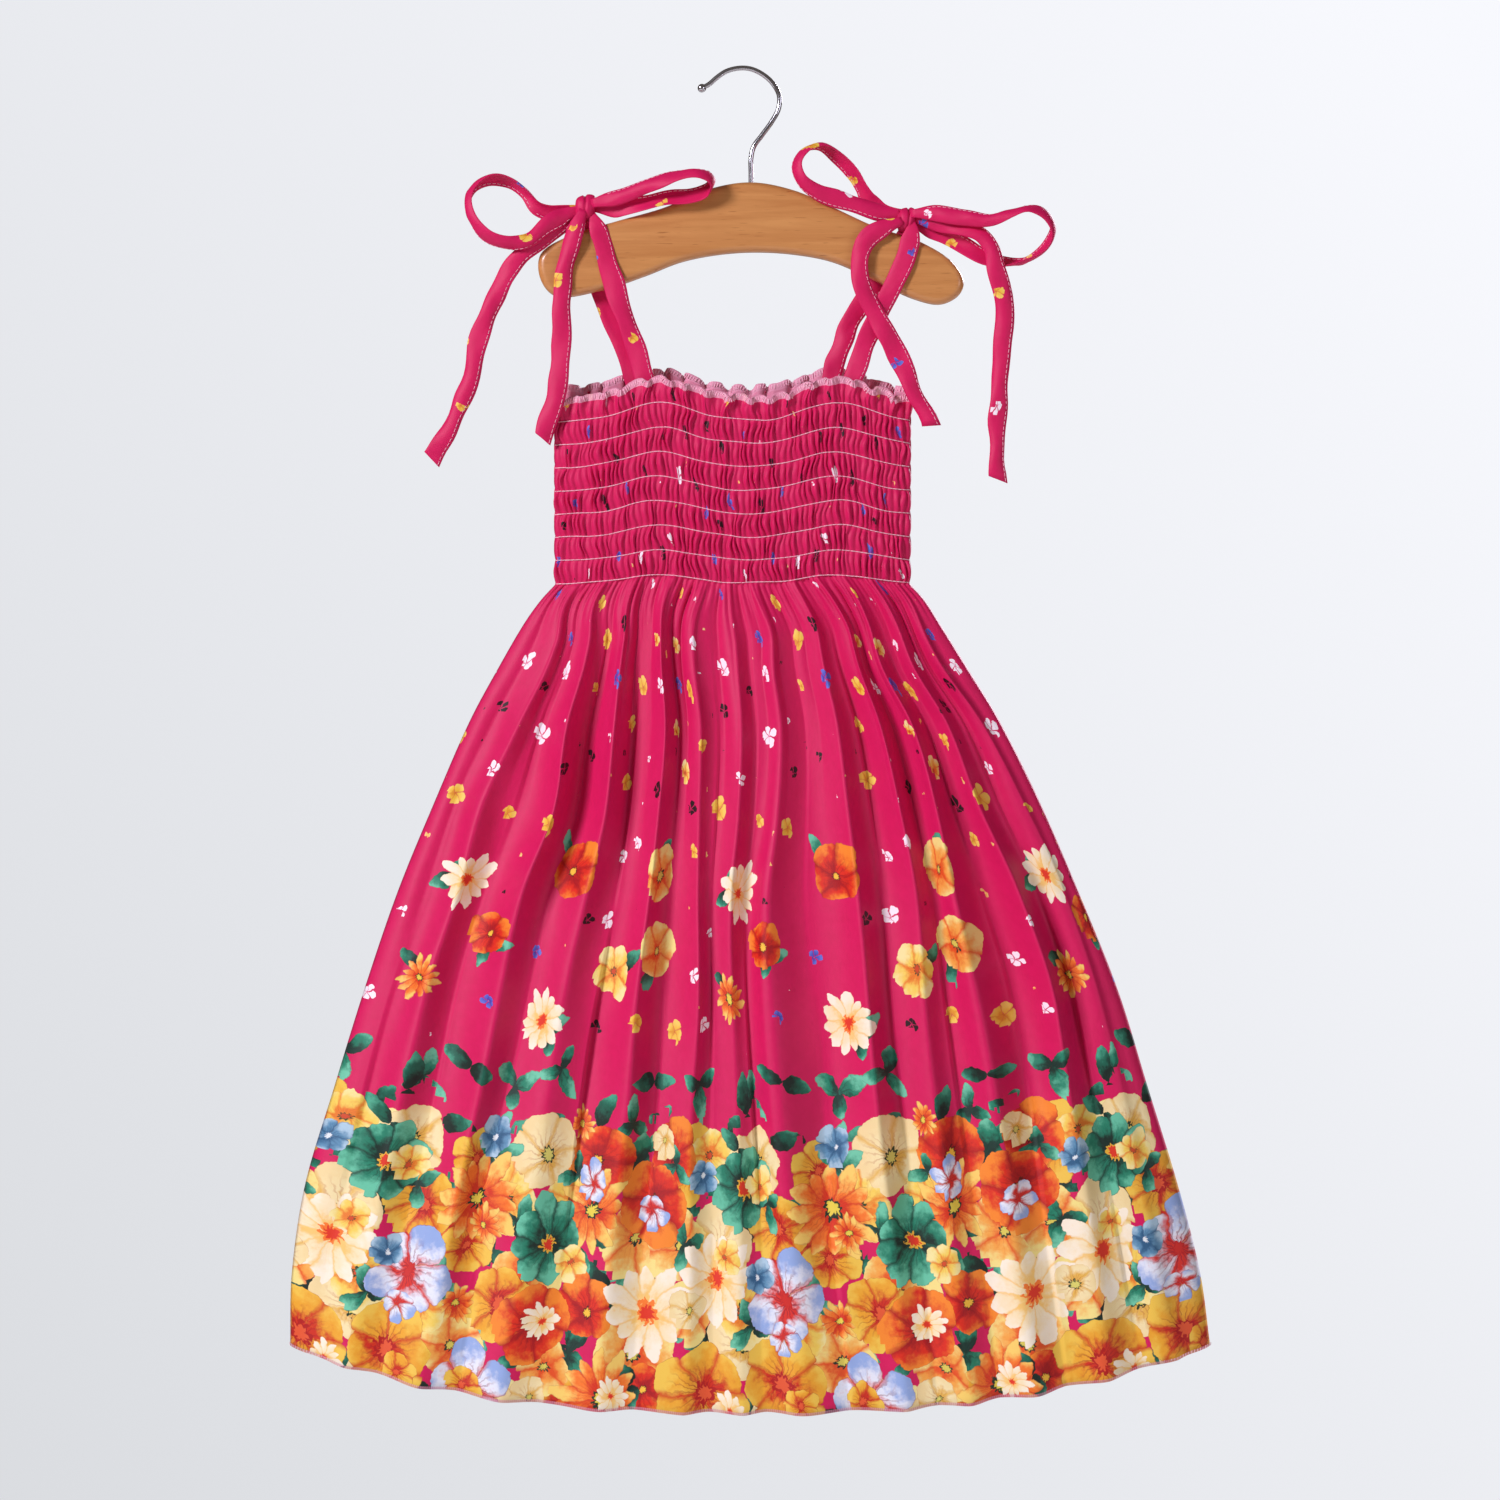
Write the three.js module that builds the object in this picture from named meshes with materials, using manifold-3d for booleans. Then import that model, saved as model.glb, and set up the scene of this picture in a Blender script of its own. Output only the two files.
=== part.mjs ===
// Toddler sundress with a shirred bodice and tie straps, hung on a wooden child's hanger.
// Millimetres, +Z up, the front faces -Y. The origin is the underside of the hook's crown,
// the point that rests on a rail or peg.

import * as THREE from "three";
import { mergeVertices } from "three/addons/utils/BufferGeometryUtils.js";
import Module from "manifold-3d";

const wasm = await Module();
wasm.setup();

// Driving sizes
const seamGap = 0.3;
const wall = 1.5;

const bodice = {
  left: -112.8,
  right: 100.2,
  depth: 9,
  waist: -309.4,
  rowPitch: 13.97,
  rows: 8,
  gathers: 54,
  pinch: 0.7,
  puff: 1.1,
  ruck: 1.9,
};

const frill = { height: 14, waves: 18, throw: 3.6 };

const skirt = { length: 459, hemDip: 35.5, depthPower: 0.62, foldTaper: 0.14, scallop: 1.6 };

// How far the top of the bodice is pulled up where each strap hangs it
const strapPull = { spread: 26, top: 11, waist: 5.5, fadeAt: 140 };

const tape = { width: 12.4, thickness: 1.4, pinched: 0.42, pinchLength: 16 };

const knotSize = { left: [6.4, 6, 7], right: [6, 6, 7.4] };

const hanger = { thickness: 12, bevel: 2.6, boreDepth: 13, boreSides: 12, edgePoints: 44 };

const hook = { wire: 3, ball: 5.2, sides: 8, steps: 30, seat: 10.5 };

// Sections of the skirt down its side seams: distance below the waist and where each seam hangs
const skirtSections = [
  { drop: 0, left: -112.8, right: 100.2, front: 9, back: 9, fold: 1.4 },
  { drop: 10, left: -122, right: 109.5, front: 11, back: 10, fold: 2.4 },
  { drop: 24, left: -132, right: 118.5, front: 14, back: 12, fold: 3.6 },
  { drop: 48, left: -146, right: 133.5, front: 17, back: 14, fold: 5 },
  { drop: 82, left: -164.4, right: 154.2, front: 21, back: 16, fold: 6.4 },
  { drop: 130, left: -185.4, right: 178.2, front: 25, back: 18, fold: 7.4 },
  { drop: 185, left: -208, right: 202, front: 29, back: 21, fold: 7.6 },
  { drop: 245, left: -228.5, right: 226, front: 32, back: 24, fold: 7.2 },
  { drop: 305, left: -247, right: 244.5, front: 35, back: 27, fold: 6.4 },
  { drop: 362, left: -264, right: 262, front: 37, back: 29, fold: 5.6 },
  { drop: 415, left: -272, right: 275.5, front: 39, back: 30, fold: 4.8 },
  { drop: 459, left: -273, right: 281.6, front: 40, back: 31, fold: 4.2 },
];

// Crest of each large fold: where it leaves the waist, and where it hangs at hip, knee and hem
const foldLevels = { atWaist: 0, atHip: 130, atKnee: 250, atHem: 459 };

const frontFolds = [
  { atWaist: -103, atHip: -164, atKnee: -200, atHem: -245, height: 0.7 },
  { atWaist: -87, atHip: -115, atKnee: -150, atHem: -197, height: 1.25 },
  { atWaist: -66, atHip: -85, atKnee: -110, atHem: -146, height: 0.9 },
  { atWaist: -49, atHip: -54, atKnee: -68, atHem: -91, height: 1.1 },
  { atWaist: -33, atHip: -28, atKnee: -30, atHem: -40, height: 0.7 },
  { atWaist: -9, atHip: -4, atKnee: -5, atHem: -5, height: 0.5 },
  { atWaist: 17, atHip: 19, atKnee: 18, atHem: 33, height: 0.8 },
  { atWaist: 39, atHip: 60, atKnee: 75, atHem: 94, height: 1.3 },
  { atWaist: 56, atHip: 91, atKnee: 108, atHem: 133, height: 0.8 },
  { atWaist: 70, atHip: 115, atKnee: 141, atHem: 172, height: 1 },
  { atWaist: 84, atHip: 141, atKnee: 187, atHem: 215, height: 1.25 },
  { atWaist: 95, atHip: 167, atKnee: 215, atHem: 256, height: 0.7 },
];

const backFolds = [
  { atWaist: -100, atHip: -158, atKnee: -196, atHem: -240, height: 0.8 },
  { atWaist: -82, atHip: -124, atKnee: -158, atHem: -192, height: 1.1 },
  { atWaist: -65, atHip: -88, atKnee: -112, atHem: -143, height: 0.8 },
  { atWaist: -46, atHip: -59, atKnee: -76, atHem: -98, height: 1.2 },
  { atWaist: -30, atHip: -33, atKnee: -37, atHem: -47, height: 0.8 },
  { atWaist: -11, atHip: -6, atKnee: 0, atHem: -2, height: 1 },
  { atWaist: 10, atHip: 24, atKnee: 34, atHem: 42, height: 0.7 },
  { atWaist: 31, atHip: 50, atKnee: 70, atHem: 88, height: 1.15 },
  { atWaist: 49, atHip: 80, atKnee: 104, atHem: 135, height: 0.9 },
  { atWaist: 68, atHip: 116, atKnee: 148, atHem: 180, height: 1.2 },
  { atWaist: 84, atHip: 148, atKnee: 190, atHem: 226, height: 0.8 },
];

const panels = {
  front_panel: { face: -1, rise: 0, folds: frontFolds, depth: "front" },
  back_panel: { face: 1, rise: 5, folds: backFolds, depth: "back" },
};

const straps = { left: -50.4, right: 56.4 };

// Each tie tape, station by station from its knot: place and how far the tape is turned open,
// 0 flat to the front, 1 across the loop
const ties = {
  left: {
    knot: { x: -95, z: -83, y: -2 },
    front_riser: [
      { x: -92, z: -86, y: -4, open: 0 },
      { x: -88, z: -95, y: -7.2, open: 0 },
      { x: -85, z: -104, y: -7.3, open: 0 },
      { x: -81, z: -119, y: -7.3, open: 0 },
      { x: -74, z: -141, y: -6.9, open: 0 },
      { x: -67, z: -161, y: -6.3, open: 0 },
      { x: -60, z: -183, y: -5.6, open: 0 },
      { x: -54, z: -207, y: -5.6, open: 0 },
    ],
    back_riser: [
      { x: -94, z: -87, y: 2.5, open: 0 },
      { x: -93, z: -95, y: 7.2, open: 0 },
      { x: -92, z: -108, y: 7.3, open: 0 },
      { x: -86, z: -134, y: 7.2, open: 0 },
      { x: -78, z: -152, y: 6.6, open: 0 },
      { x: -70, z: -172, y: 6, open: 0 },
      { x: -66, z: -184, y: 5.4, open: 0 },
      { x: -61, z: -204, y: 5.4, open: 0 },
    ],
    tail_inner: [
      { x: -96, z: -85, y: -7.4, open: 0 },
      { x: -101, z: -98, y: -10.2, open: 0 },
      { x: -106, z: -116, y: -9, open: 0 },
      { x: -109, z: -140, y: -9, open: 0 },
      { x: -109, z: -163, y: -9, open: 0 },
      { x: -111, z: -188, y: -9, open: 0 },
      { x: -115, z: -206, y: -9, open: 0 },
      { x: -120, z: -223, y: -9, open: 0 },
    ],
    tail_outer: [
      { x: -98, z: -85, y: -1.8, open: 0 },
      { x: -109, z: -93, y: -4.6, open: 0 },
      { x: -119, z: -101, y: -7.4, open: 0 },
      { x: -133, z: -112, y: -7.4, open: 0 },
      { x: -142, z: -123, y: -7, open: 0 },
      { x: -151, z: -143, y: -6, open: 0 },
      { x: -159, z: -163, y: -5, open: 0 },
      { x: -165, z: -189, y: -4, open: 0 },
      { x: -176, z: -213, y: -4, open: 0 },
      { x: -187, z: -235, y: -4, open: 0 },
    ],
    loop_outer: [
      { x: -98, z: -84, y: -4, open: 0 },
      { x: -107, z: -88, y: -5.8, open: 0 },
      { x: -116, z: -94, y: -9.6, open: 0.1 },
      { x: -128, z: -104, y: -12.4, open: 0.4 },
      { x: -140, z: -106, y: -13.4, open: 0.8 },
      { x: -153, z: -102, y: -13.4, open: 1 },
      { x: -162, z: -92, y: -12, open: 1 },
      { x: -165, z: -80, y: -9, open: 1 },
      { x: -161, z: -70, y: -4, open: 1 },
      { x: -151, z: -65, y: -1, open: 1 },
      { x: -140, z: -67, y: 1, open: 1 },
      { x: -131, z: -74, y: 1.5, open: 0.9 },
      { x: -124, z: -83, y: 1.4, open: 0.5 },
      { x: -115, z: -86, y: 1.2, open: 0.1 },
      { x: -98, z: -83, y: 1, open: 0 },
    ],
    loop_inner: [
      { x: -91, z: -81, y: -6.4, open: 0 },
      { x: -74, z: -77, y: -10.4, open: 0.2 },
      { x: -57, z: -71, y: -14.4, open: 0.7 },
      { x: -41, z: -66, y: -17.4, open: 1 },
      { x: -26, z: -64, y: -18.4, open: 1 },
      { x: -19, z: -67, y: -15.6, open: 1 },
      { x: -21, z: -73, y: -11.4, open: 1 },
      { x: -33, z: -77, y: -10.2, open: 0.7 },
      { x: -48, z: -79, y: -9.6, open: 0.4 },
      { x: -64, z: -82, y: -8, open: 0.1 },
      { x: -78, z: -83, y: -4.2, open: 0 },
      { x: -91, z: -83, y: -1, open: 0 },
    ],
    across: { loop_outer: [-0.35, 0.8, -0.5], loop_inner: [0.25, 0.62, 0.74] },
  },
  right: {
    knot: { x: 98, z: -90, y: -2 },
    front_riser: [
      { x: 100.5, z: -90, y: -4.4, open: 0 },
      { x: 101.5, z: -97, y: -7, open: 0 },
      { x: 100, z: -105, y: -7.4, open: 0 },
      { x: 97, z: -117, y: -7.4, open: 0 },
      { x: 88, z: -134, y: -7.4, open: 0 },
      { x: 78, z: -155, y: -6.6, open: 0 },
      { x: 70, z: -177, y: -5.4, open: 0 },
      { x: 65, z: -190, y: -4.7, open: 0 },
      { x: 59, z: -208, y: -4.7, open: 0 },
    ],
    back_riser: [
      { x: 99, z: -91, y: 1.6, open: 0 },
      { x: 98, z: -97, y: 6.7, open: 0 },
      { x: 94, z: -106, y: 7.4, open: 0 },
      { x: 86, z: -119, y: 7.4, open: 0 },
      { x: 71, z: -141, y: 7.2, open: 0 },
      { x: 63, z: -156, y: 6.6, open: 0 },
      { x: 57, z: -171, y: 6, open: 0 },
      { x: 53, z: -185, y: 5.4, open: 0 },
      { x: 49, z: -204, y: 5.4, open: 0 },
    ],
    tail_inner: [
      { x: 95.5, z: -91.5, y: -7.4, open: 0 },
      { x: 85, z: -96, y: -10, open: 0 },
      { x: 76, z: -101, y: -10, open: 0 },
      { x: 71, z: -110, y: -10, open: 0 },
      { x: 70, z: -121, y: -10, open: 0 },
      { x: 73, z: -134, y: -9.9, open: 0 },
      { x: 80, z: -149, y: -9.8, open: 0 },
      { x: 91, z: -168, y: -9.6, open: 0 },
      { x: 101, z: -190, y: -9.4, open: 0 },
      { x: 113, z: -215, y: -9.2, open: 0 },
    ],
    tail_outer: [
      { x: 101, z: -89, y: -2.6, open: 0 },
      { x: 117, z: -92, y: -5.4, open: 0 },
      { x: 133, z: -96, y: -8.5, open: 0 },
      { x: 143, z: -100, y: -9.6, open: 0 },
      { x: 149, z: -108, y: -10.4, open: 0 },
      { x: 152, z: -120, y: -10.6, open: 0 },
      { x: 157, z: -137, y: -9.4, open: 0 },
      { x: 157, z: -152, y: -8.4, open: 0 },
      { x: 155, z: -177, y: -7, open: 0 },
      { x: 154, z: -200, y: -6, open: 0 },
      { x: 153, z: -222, y: -6, open: 0 },
      { x: 153, z: -247, y: -6, open: 0 },
    ],
    loop_outer: [
      { x: 101, z: -87, y: -7, open: 0 },
      { x: 117, z: -87, y: -10, open: 0 },
      { x: 133, z: -90, y: -12.8, open: 0.2 },
      { x: 147, z: -91, y: -15, open: 0.6 },
      { x: 160, z: -88, y: -16, open: 0.9 },
      { x: 172, z: -85, y: -15.4, open: 1 },
      { x: 182, z: -89, y: -13, open: 1 },
      { x: 186, z: -98, y: -10, open: 1 },
      { x: 182, z: -107, y: -7, open: 1 },
      { x: 170, z: -115, y: -4.6, open: 1 },
      { x: 157, z: -116, y: -3.6, open: 0.6 },
      { x: 146, z: -113, y: -3.2, open: 0.3 },
      { x: 132, z: -105, y: -2.2, open: 0.1 },
      { x: 117, z: -97, y: -0.2, open: 0 },
      { x: 101, z: -91, y: 0.4, open: 0 },
    ],
    loop_inner: [
      { x: 95, z: -88, y: -4.2, open: 0 },
      { x: 77, z: -85, y: -6.4, open: 0 },
      { x: 59, z: -79, y: -8.6, open: 0.1 },
      { x: 45, z: -75, y: -10, open: 0.4 },
      { x: 35, z: -68, y: -11, open: 0.9 },
      { x: 32, z: -58, y: -9.6, open: 1 },
      { x: 37, z: -49, y: -6.4, open: 1 },
      { x: 47, z: -46, y: -3, open: 1 },
      { x: 58, z: -52, y: 0, open: 1 },
      { x: 67, z: -62, y: 2, open: 1 },
      { x: 72, z: -71, y: 2.6, open: 0.9 },
      { x: 76, z: -79, y: 2.4, open: 0.5 },
      { x: 83, z: -84, y: 1.2, open: 0.1 },
      { x: 95, z: -86, y: -0.4, open: 0 },
    ],
    across: { loop_outer: [0.3, 0.85, 0.42], loop_inner: [-0.4, 0.78, -0.45] },
  },
};

// Wooden hanger: its upper and lower edges, left to right
const hangerTop = [
  [-122, -111], [-104, -99.5], [-76, -91], [-48, -83], [-20, -71.5], [5, -67.6],
  [31, -72.5], [54, -82.5], [79, -94], [108, -104], [127, -116.5], [133, -128],
];
const hangerBottom = [
  [-122, -126], [-113, -136], [-85, -132.5], [-59, -124], [-37, -115.5], [-14, -111],
  [8, -109.6], [31, -111], [54, -115.5], [79, -126.5], [102, -137.5], [119, -141], [130, -135.5],
];

// Hook wire: centre line from the ball tip, over the crown, down to the stem
const hookRoute = [
  [-24.8, -10.6], [-20.4, -8.2], [-16, -4.4], [-10, -0.4], [-2, 1.5], [5, 0.9], [12, -2.4],
  [18, -7.8], [21.8, -15], [21.4, -23], [17.2, -31], [11.4, -39], [6.4, -46], [4.8, -53], [4.8, -62],
];

// Solid from shared points and triangles, turned right side out
function solid(points, faces) {
  let volume = 0;
  for (const [a, b, c] of faces) {
    const [p, q, r] = [points[a], points[b], points[c]];
    volume += p.dot(new THREE.Vector3().crossVectors(q, r));
  }
  const index = faces.flatMap(([a, b, c]) => (volume > 0 ? [a, b, c] : [a, c, b]));
  const geometry = new THREE.BufferGeometry();
  const places = points.flatMap((p) => [p.x, p.y, p.z]);
  geometry.setAttribute("position", new THREE.Float32BufferAttribute(places, 3));
  geometry.setIndex(index);
  return geometry;
}

// Booleans: closed mesh to manifold and back
function toManifold(geometry) {
  const bare = geometry.clone();
  bare.deleteAttribute("normal");
  bare.deleteAttribute("uv");
  const merged = mergeVertices(bare, 1e-4);
  return new wasm.Manifold(
    new wasm.Mesh({
      numProp: 3,
      vertProperties: new Float32Array(merged.attributes.position.array),
      triVerts: new Uint32Array(merged.index.array),
    }),
  );
}

function fromManifold(manifold) {
  const mesh = manifold.getMesh();
  const geometry = new THREE.BufferGeometry();
  geometry.setAttribute("position", new THREE.BufferAttribute(mesh.vertProperties, 3));
  geometry.setIndex(new THREE.BufferAttribute(mesh.triVerts, 1));
  return geometry;
}

// Repeatable unevenness between 0 and 1, so that no two gathers are alike
function uneven(a, b) {
  const n = Math.sin(a * 12.9898 + b * 78.233) * 43758.5453;
  return n - Math.floor(n);
}

const smooth = (t) => t * t * (3 - 2 * t);
const clamp01 = (t) => Math.min(1, Math.max(0, t));

// Value of one column of the section table at a distance below the waist
function atDrop(column, drop) {
  const d = Math.min(Math.max(drop, 0), skirt.length);
  const i = Math.max(1, skirtSections.findIndex((s) => s.drop >= d));
  const [a, b] = [skirtSections[i - 1], skirtSections[i]];
  return THREE.MathUtils.mapLinear(d, a.drop, b.drop, a[column], b[column]);
}

// Flattened tube that both panels lie on: across runs 0 at the left seam to 1 at the right
function tubePoint(left, right, depth, face, across) {
  const c = 2 * across - 1;
  const bulge = 1 - Math.abs(c) ** 3;
  const y = depth * bulge ** skirt.depthPower;
  const half = (right - left) / 2;
  const nx = (3 * Math.sign(c) * c * c) / half;
  const ny = depth > 0 ? (y / depth) ** (1 / skirt.depthPower - 1) / skirt.depthPower / depth : 0;
  const n = Math.hypot(nx, ny);
  return {
    x: (left + right) / 2 + half * c,
    y: face * (y + seamGap / 2),
    nx: nx / n,
    ny: (face * ny) / n,
  };
}

function strapLift(x, amount) {
  const bump = (at) => Math.exp(-(((x - at) / strapPull.spread) ** 2));
  return amount * (bump(straps.left) + bump(straps.right));
}

// Rows of the bodice from the frill's edge down to the waist, with how the cloth stands there
function bodiceRows(panel) {
  const topRow = bodice.waist + (bodice.rows - 1) * bodice.rowPitch;
  const rows = [
    { z: topRow + frill.height, ruck: 0.5, puff: 0.2, wave: 1 },
    { z: topRow + frill.height * 0.45, ruck: 0.9, puff: 0.3, wave: 0.55 },
  ];
  for (let row = 0; row < bodice.rows; row++) {
    const z = topRow - row * bodice.rowPitch;
    rows.push({ z, ruck: bodice.pinch, puff: 0, wave: 0 });
    if (row < bodice.rows - 1) {
      rows.push({ z: z - bodice.rowPitch / 2, ruck: bodice.ruck, puff: bodice.puff, wave: 0 });
    }
  }
  for (const row of rows) {
    const up = (row.z - bodice.waist) / (topRow - bodice.waist);
    row.lift = THREE.MathUtils.lerp(strapPull.waist, strapPull.top, clamp01(up));
    row.z += panel.rise * clamp01(up);
  }
  return rows;
}

function bodicePoint(panel, row, across, ruck, inset) {
  const left = bodice.left + inset;
  const right = bodice.right - inset;
  const p = tubePoint(left, right, bodice.depth - inset, panel.face, across);
  const wave = row.wave * frill.throw * (0.5 - 0.5 * Math.cos(2 * Math.PI * frill.waves * across));
  const out = row.puff * (inset > 0 ? 0 : 1) + ruck + wave;
  const z = row.z + strapLift(p.x, row.lift);
  return new THREE.Vector3(p.x + p.nx * out, p.y + p.ny * out, z);
}

// Fold columns: the crests and the edges, with three columns between each pair
function foldStations(panel) {
  const crests = panel.folds.length + 1;
  const stations = [];
  for (let k = 0; k <= crests * 4; k++) {
    stations.push(k / 4);
  }
  return stations;
}

function foldPlace(panel, station, drop) {
  const levels = Object.entries(foldLevels);
  const at = (fold) => {
    const i = Math.max(1, levels.findIndex(([, d]) => d >= drop));
    const [[nameA, a], [nameB, b]] = [levels[i - 1], levels[i]];
    return THREE.MathUtils.mapLinear(drop, a, b, fold[nameA], fold[nameB]);
  };
  const [left, right] = [atDrop("left", drop), atDrop("right", drop)];
  const crestX = [left, ...panel.folds.map(at), right];
  const heights = [0.6, ...panel.folds.map((fold) => fold.height), 0.6];
  const i = Math.min(Math.floor(station), crestX.length - 2);
  const t = station - i;
  const x = THREE.MathUtils.lerp(crestX[i], crestX[i + 1], t);
  const height = THREE.MathUtils.lerp(heights[i], heights[i + 1], t);
  return { across: (x - left) / (right - left), height };
}

const foldShape = (station) => 2 * Math.abs(Math.cos(Math.PI * station)) ** 1.3 - 1;

function skirtPoint(panel, station, fall, inset) {
  const drop = fall * skirt.length;
  const { across, height } = foldPlace(panel, station, drop);
  const left = atDrop("left", drop) + inset;
  const right = atDrop("right", drop) - inset;
  const p = tubePoint(left, right, atDrop(panel.depth, drop) - inset, panel.face, across);
  const c = Math.abs(2 * across - 1);
  const taper = smooth(clamp01((1 - c) / skirt.foldTaper));
  const fold = atDrop("fold", drop) * height * foldShape(station) * taper;
  const fade = 1 - smooth(clamp01(drop / strapPull.fadeAt));
  const waist = bodice.waist + strapLift(p.x, strapPull.waist * fade);
  const dip = skirt.hemDip * (1 - c ** 2.5) + skirt.scallop * foldShape(station) * taper;
  const z = waist - fall * (skirt.length + dip);
  return { across, point: new THREE.Vector3(p.x, p.y + panel.face * fold, z) };
}

// One dress panel: gathers raised on its outer face, a plain inside, and folded skirt below
function makePanel(panel) {
  const points = [];
  const faces = [];
  const add = (across, point) => {
    points.push(point);
    return { u: across, id: points.length - 1 };
  };
  const zip = (upper, lower) => {
    let [i, j] = [0, 0];
    while (i < upper.length - 1 || j < lower.length - 1) {
      const nextUpper = i < upper.length - 1 ? upper[i + 1].u : Infinity;
      const nextLower = j < lower.length - 1 ? lower[j + 1].u : Infinity;
      if (nextUpper <= nextLower) {
        faces.push([upper[i].id, lower[j].id, upper[i + 1].id]);
        i++;
      } else {
        faces.push([upper[i].id, lower[j].id, lower[j + 1].id]);
        j++;
      }
    }
  };
  const rows = bodiceRows(panel);
  const outer = [];
  const inner = [];

  const columns = bodice.gathers * 2;
  const gatherRow = (row, rowNumber) => {
    const line = [];
    for (let i = 0; i <= columns; i++) {
      const edge = i === 0 || i === columns;
      const sway = edge ? 0 : 0.3 * Math.sin(i * 0.7 + rowNumber * 1.9);
      const ridge = i % 2 === 1 ? row.ruck * (0.7 + 0.6 * uneven(i, rowNumber)) : 0;
      const across = (i + sway) / columns;
      line.push(add(across, bodicePoint(panel, row, across, ridge, 0)));
    }
    return line;
  };
  rows.forEach((row, rowNumber) => outer.push(gatherRow(row, rowNumber)));

  // Small gathers run on just under the waist before they join the folds
  const under = { z: bodice.waist - 7, ruck: 1.3, puff: 0.6, wave: 0, lift: strapPull.waist };
  outer.push(gatherRow(under, rows.length));

  const plainRow = (row, count) => {
    const line = [];
    for (let i = 0; i <= count; i++) {
      line.push(add(i / count, bodicePoint(panel, row, i / count, 0, wall)));
    }
    return line;
  };
  const plainRows = [2, 6, 10, 14, 16];
  inner.push(plainRow(rows[0], columns));
  inner.push(plainRow(rows[1], columns));
  plainRows.forEach((n) => inner.push(plainRow(rows[n], bodice.gathers)));
  inner.push(plainRow(under, bodice.gathers));

  const stations = foldStations(panel);
  for (const { drop } of skirtSections.slice(2)) {
    const fall = drop / skirt.length;
    const place = (inset) => (station) => {
      const { across, point } = skirtPoint(panel, station, fall, inset);
      return add(across, point);
    };
    outer.push(stations.map(place(0)));
    inner.push(stations.map(place(wall)));
  }

  for (let r = 0; r < outer.length - 1; r++) {
    zip(outer[r], outer[r + 1]);
  }
  for (let r = 0; r < inner.length - 1; r++) {
    zip(inner[r + 1], inner[r]);
  }
  zip(inner[0], outer[0]);
  zip(outer[outer.length - 1], inner[inner.length - 1]);
  const edge = (lines, end) =>
    lines.map((line) => {
      const { id } = end < 0 ? line[0] : line[line.length - 1];
      return { u: -points[id].z, id };
    });
  zip(edge(outer, -1), edge(inner, -1));
  zip(edge(inner, 1), edge(outer, 1));
  return solid(points, faces);
}

// Flat tape along its stations, pinched where it enters the knot at either end
function makeTape(stations, across, knotEnds) {
  const curve = new THREE.CatmullRomCurve3(
    stations.map((s) => new THREE.Vector3(s.x, s.y, s.z)),
    false,
    "centripetal",
  );
  const spans = stations.length - 1;
  const steps = Math.round(spans * (across ? 1.6 : 1.25));
  const points = [];
  const faces = [];
  const depth = new THREE.Vector3(0, 1, 0);
  const length = curve.getLength();
  let previous = null;
  for (let k = 0; k <= steps; k++) {
    const t = k / steps;
    const centre = curve.getPoint(t);
    const along = curve.getTangent(t);
    const flat = new THREE.Vector3().crossVectors(along, depth).normalize();
    const s = Math.min(Math.floor(t * spans), spans - 1);
    const open = THREE.MathUtils.lerp(stations[s].open, stations[s + 1].open, t * spans - s);
    if (across) {
      const turned = new THREE.Vector3(...across);
      if (turned.dot(flat) < 0) flat.negate();
      flat.lerp(turned, open);
    }
    flat.addScaledVector(along, -flat.dot(along)).normalize();
    if (previous && flat.dot(previous) < 0) flat.negate();
    previous = flat.clone();
    const normal = new THREE.Vector3().crossVectors(along, flat).normalize();
    const fromStart = t * length;
    const fromEnd = knotEnds === 2 ? (1 - t) * length : Infinity;
    const free = smooth(clamp01(Math.min(fromStart, fromEnd) / tape.pinchLength));
    const half = (tape.width / 2) * THREE.MathUtils.lerp(tape.pinched, 1, free);
    for (const [w, n] of [[-1, -1], [1, -1], [1, 1], [-1, 1]]) {
      const corner = centre.clone().addScaledVector(flat, w * half);
      points.push(corner.addScaledVector(normal, (n * tape.thickness) / 2));
    }
  }
  for (let k = 0; k < steps; k++) {
    for (let side = 0; side < 4; side++) {
      const [a, b] = [k * 4 + side, k * 4 + ((side + 1) % 4)];
      faces.push([a, b, b + 4], [a, b + 4, a + 4]);
    }
  }
  const last = steps * 4;
  faces.push([0, 3, 2], [0, 2, 1], [last, last + 1, last + 2], [last, last + 2, last + 3]);
  return solid(points, faces);
}

function makeKnot(size, grow) {
  const [x, y, z] = size;
  return new THREE.SphereGeometry(1, 12, 8).rotateX(Math.PI / 2).scale(x + grow, y + grow, z + grow);
}

function makeHanger() {
  const ring = [...hangerTop, ...[...hangerBottom].reverse()];
  const outline = ring.map(([x, z]) => new THREE.Vector3(x, z, 0));
  const edge = new THREE.CatmullRomCurve3(outline, true, "centripetal");
  const corners = edge.getSpacedPoints(hanger.edgePoints).slice(0, -1);
  const shape = new THREE.Shape(corners.map((p) => new THREE.Vector2(p.x, p.y)));
  const board = new THREE.ExtrudeGeometry(shape, {
    depth: hanger.thickness - 2 * hanger.bevel,
    bevelEnabled: true,
    bevelThickness: hanger.bevel,
    bevelSize: hanger.bevel,
    bevelOffset: -hanger.bevel,
    bevelSegments: 2,
  });
  board.translate(0, 0, -(hanger.thickness / 2 - hanger.bevel)).rotateX(Math.PI / 2);
  const [stemX] = hookRoute[hookRoute.length - 1];
  const stemZ = hangerTop[5][1];
  const boreRadius = (hook.wire / 2 + seamGap) / Math.cos(Math.PI / hanger.boreSides);
  const reach = 2 * hanger.boreDepth;
  const bore = new THREE.CylinderGeometry(boreRadius, boreRadius, reach, hanger.boreSides);
  bore.rotateX(Math.PI / 2).translate(stemX, 0, stemZ);
  return fromManifold(toManifold(board).subtract(toManifold(bore)));
}

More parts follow.
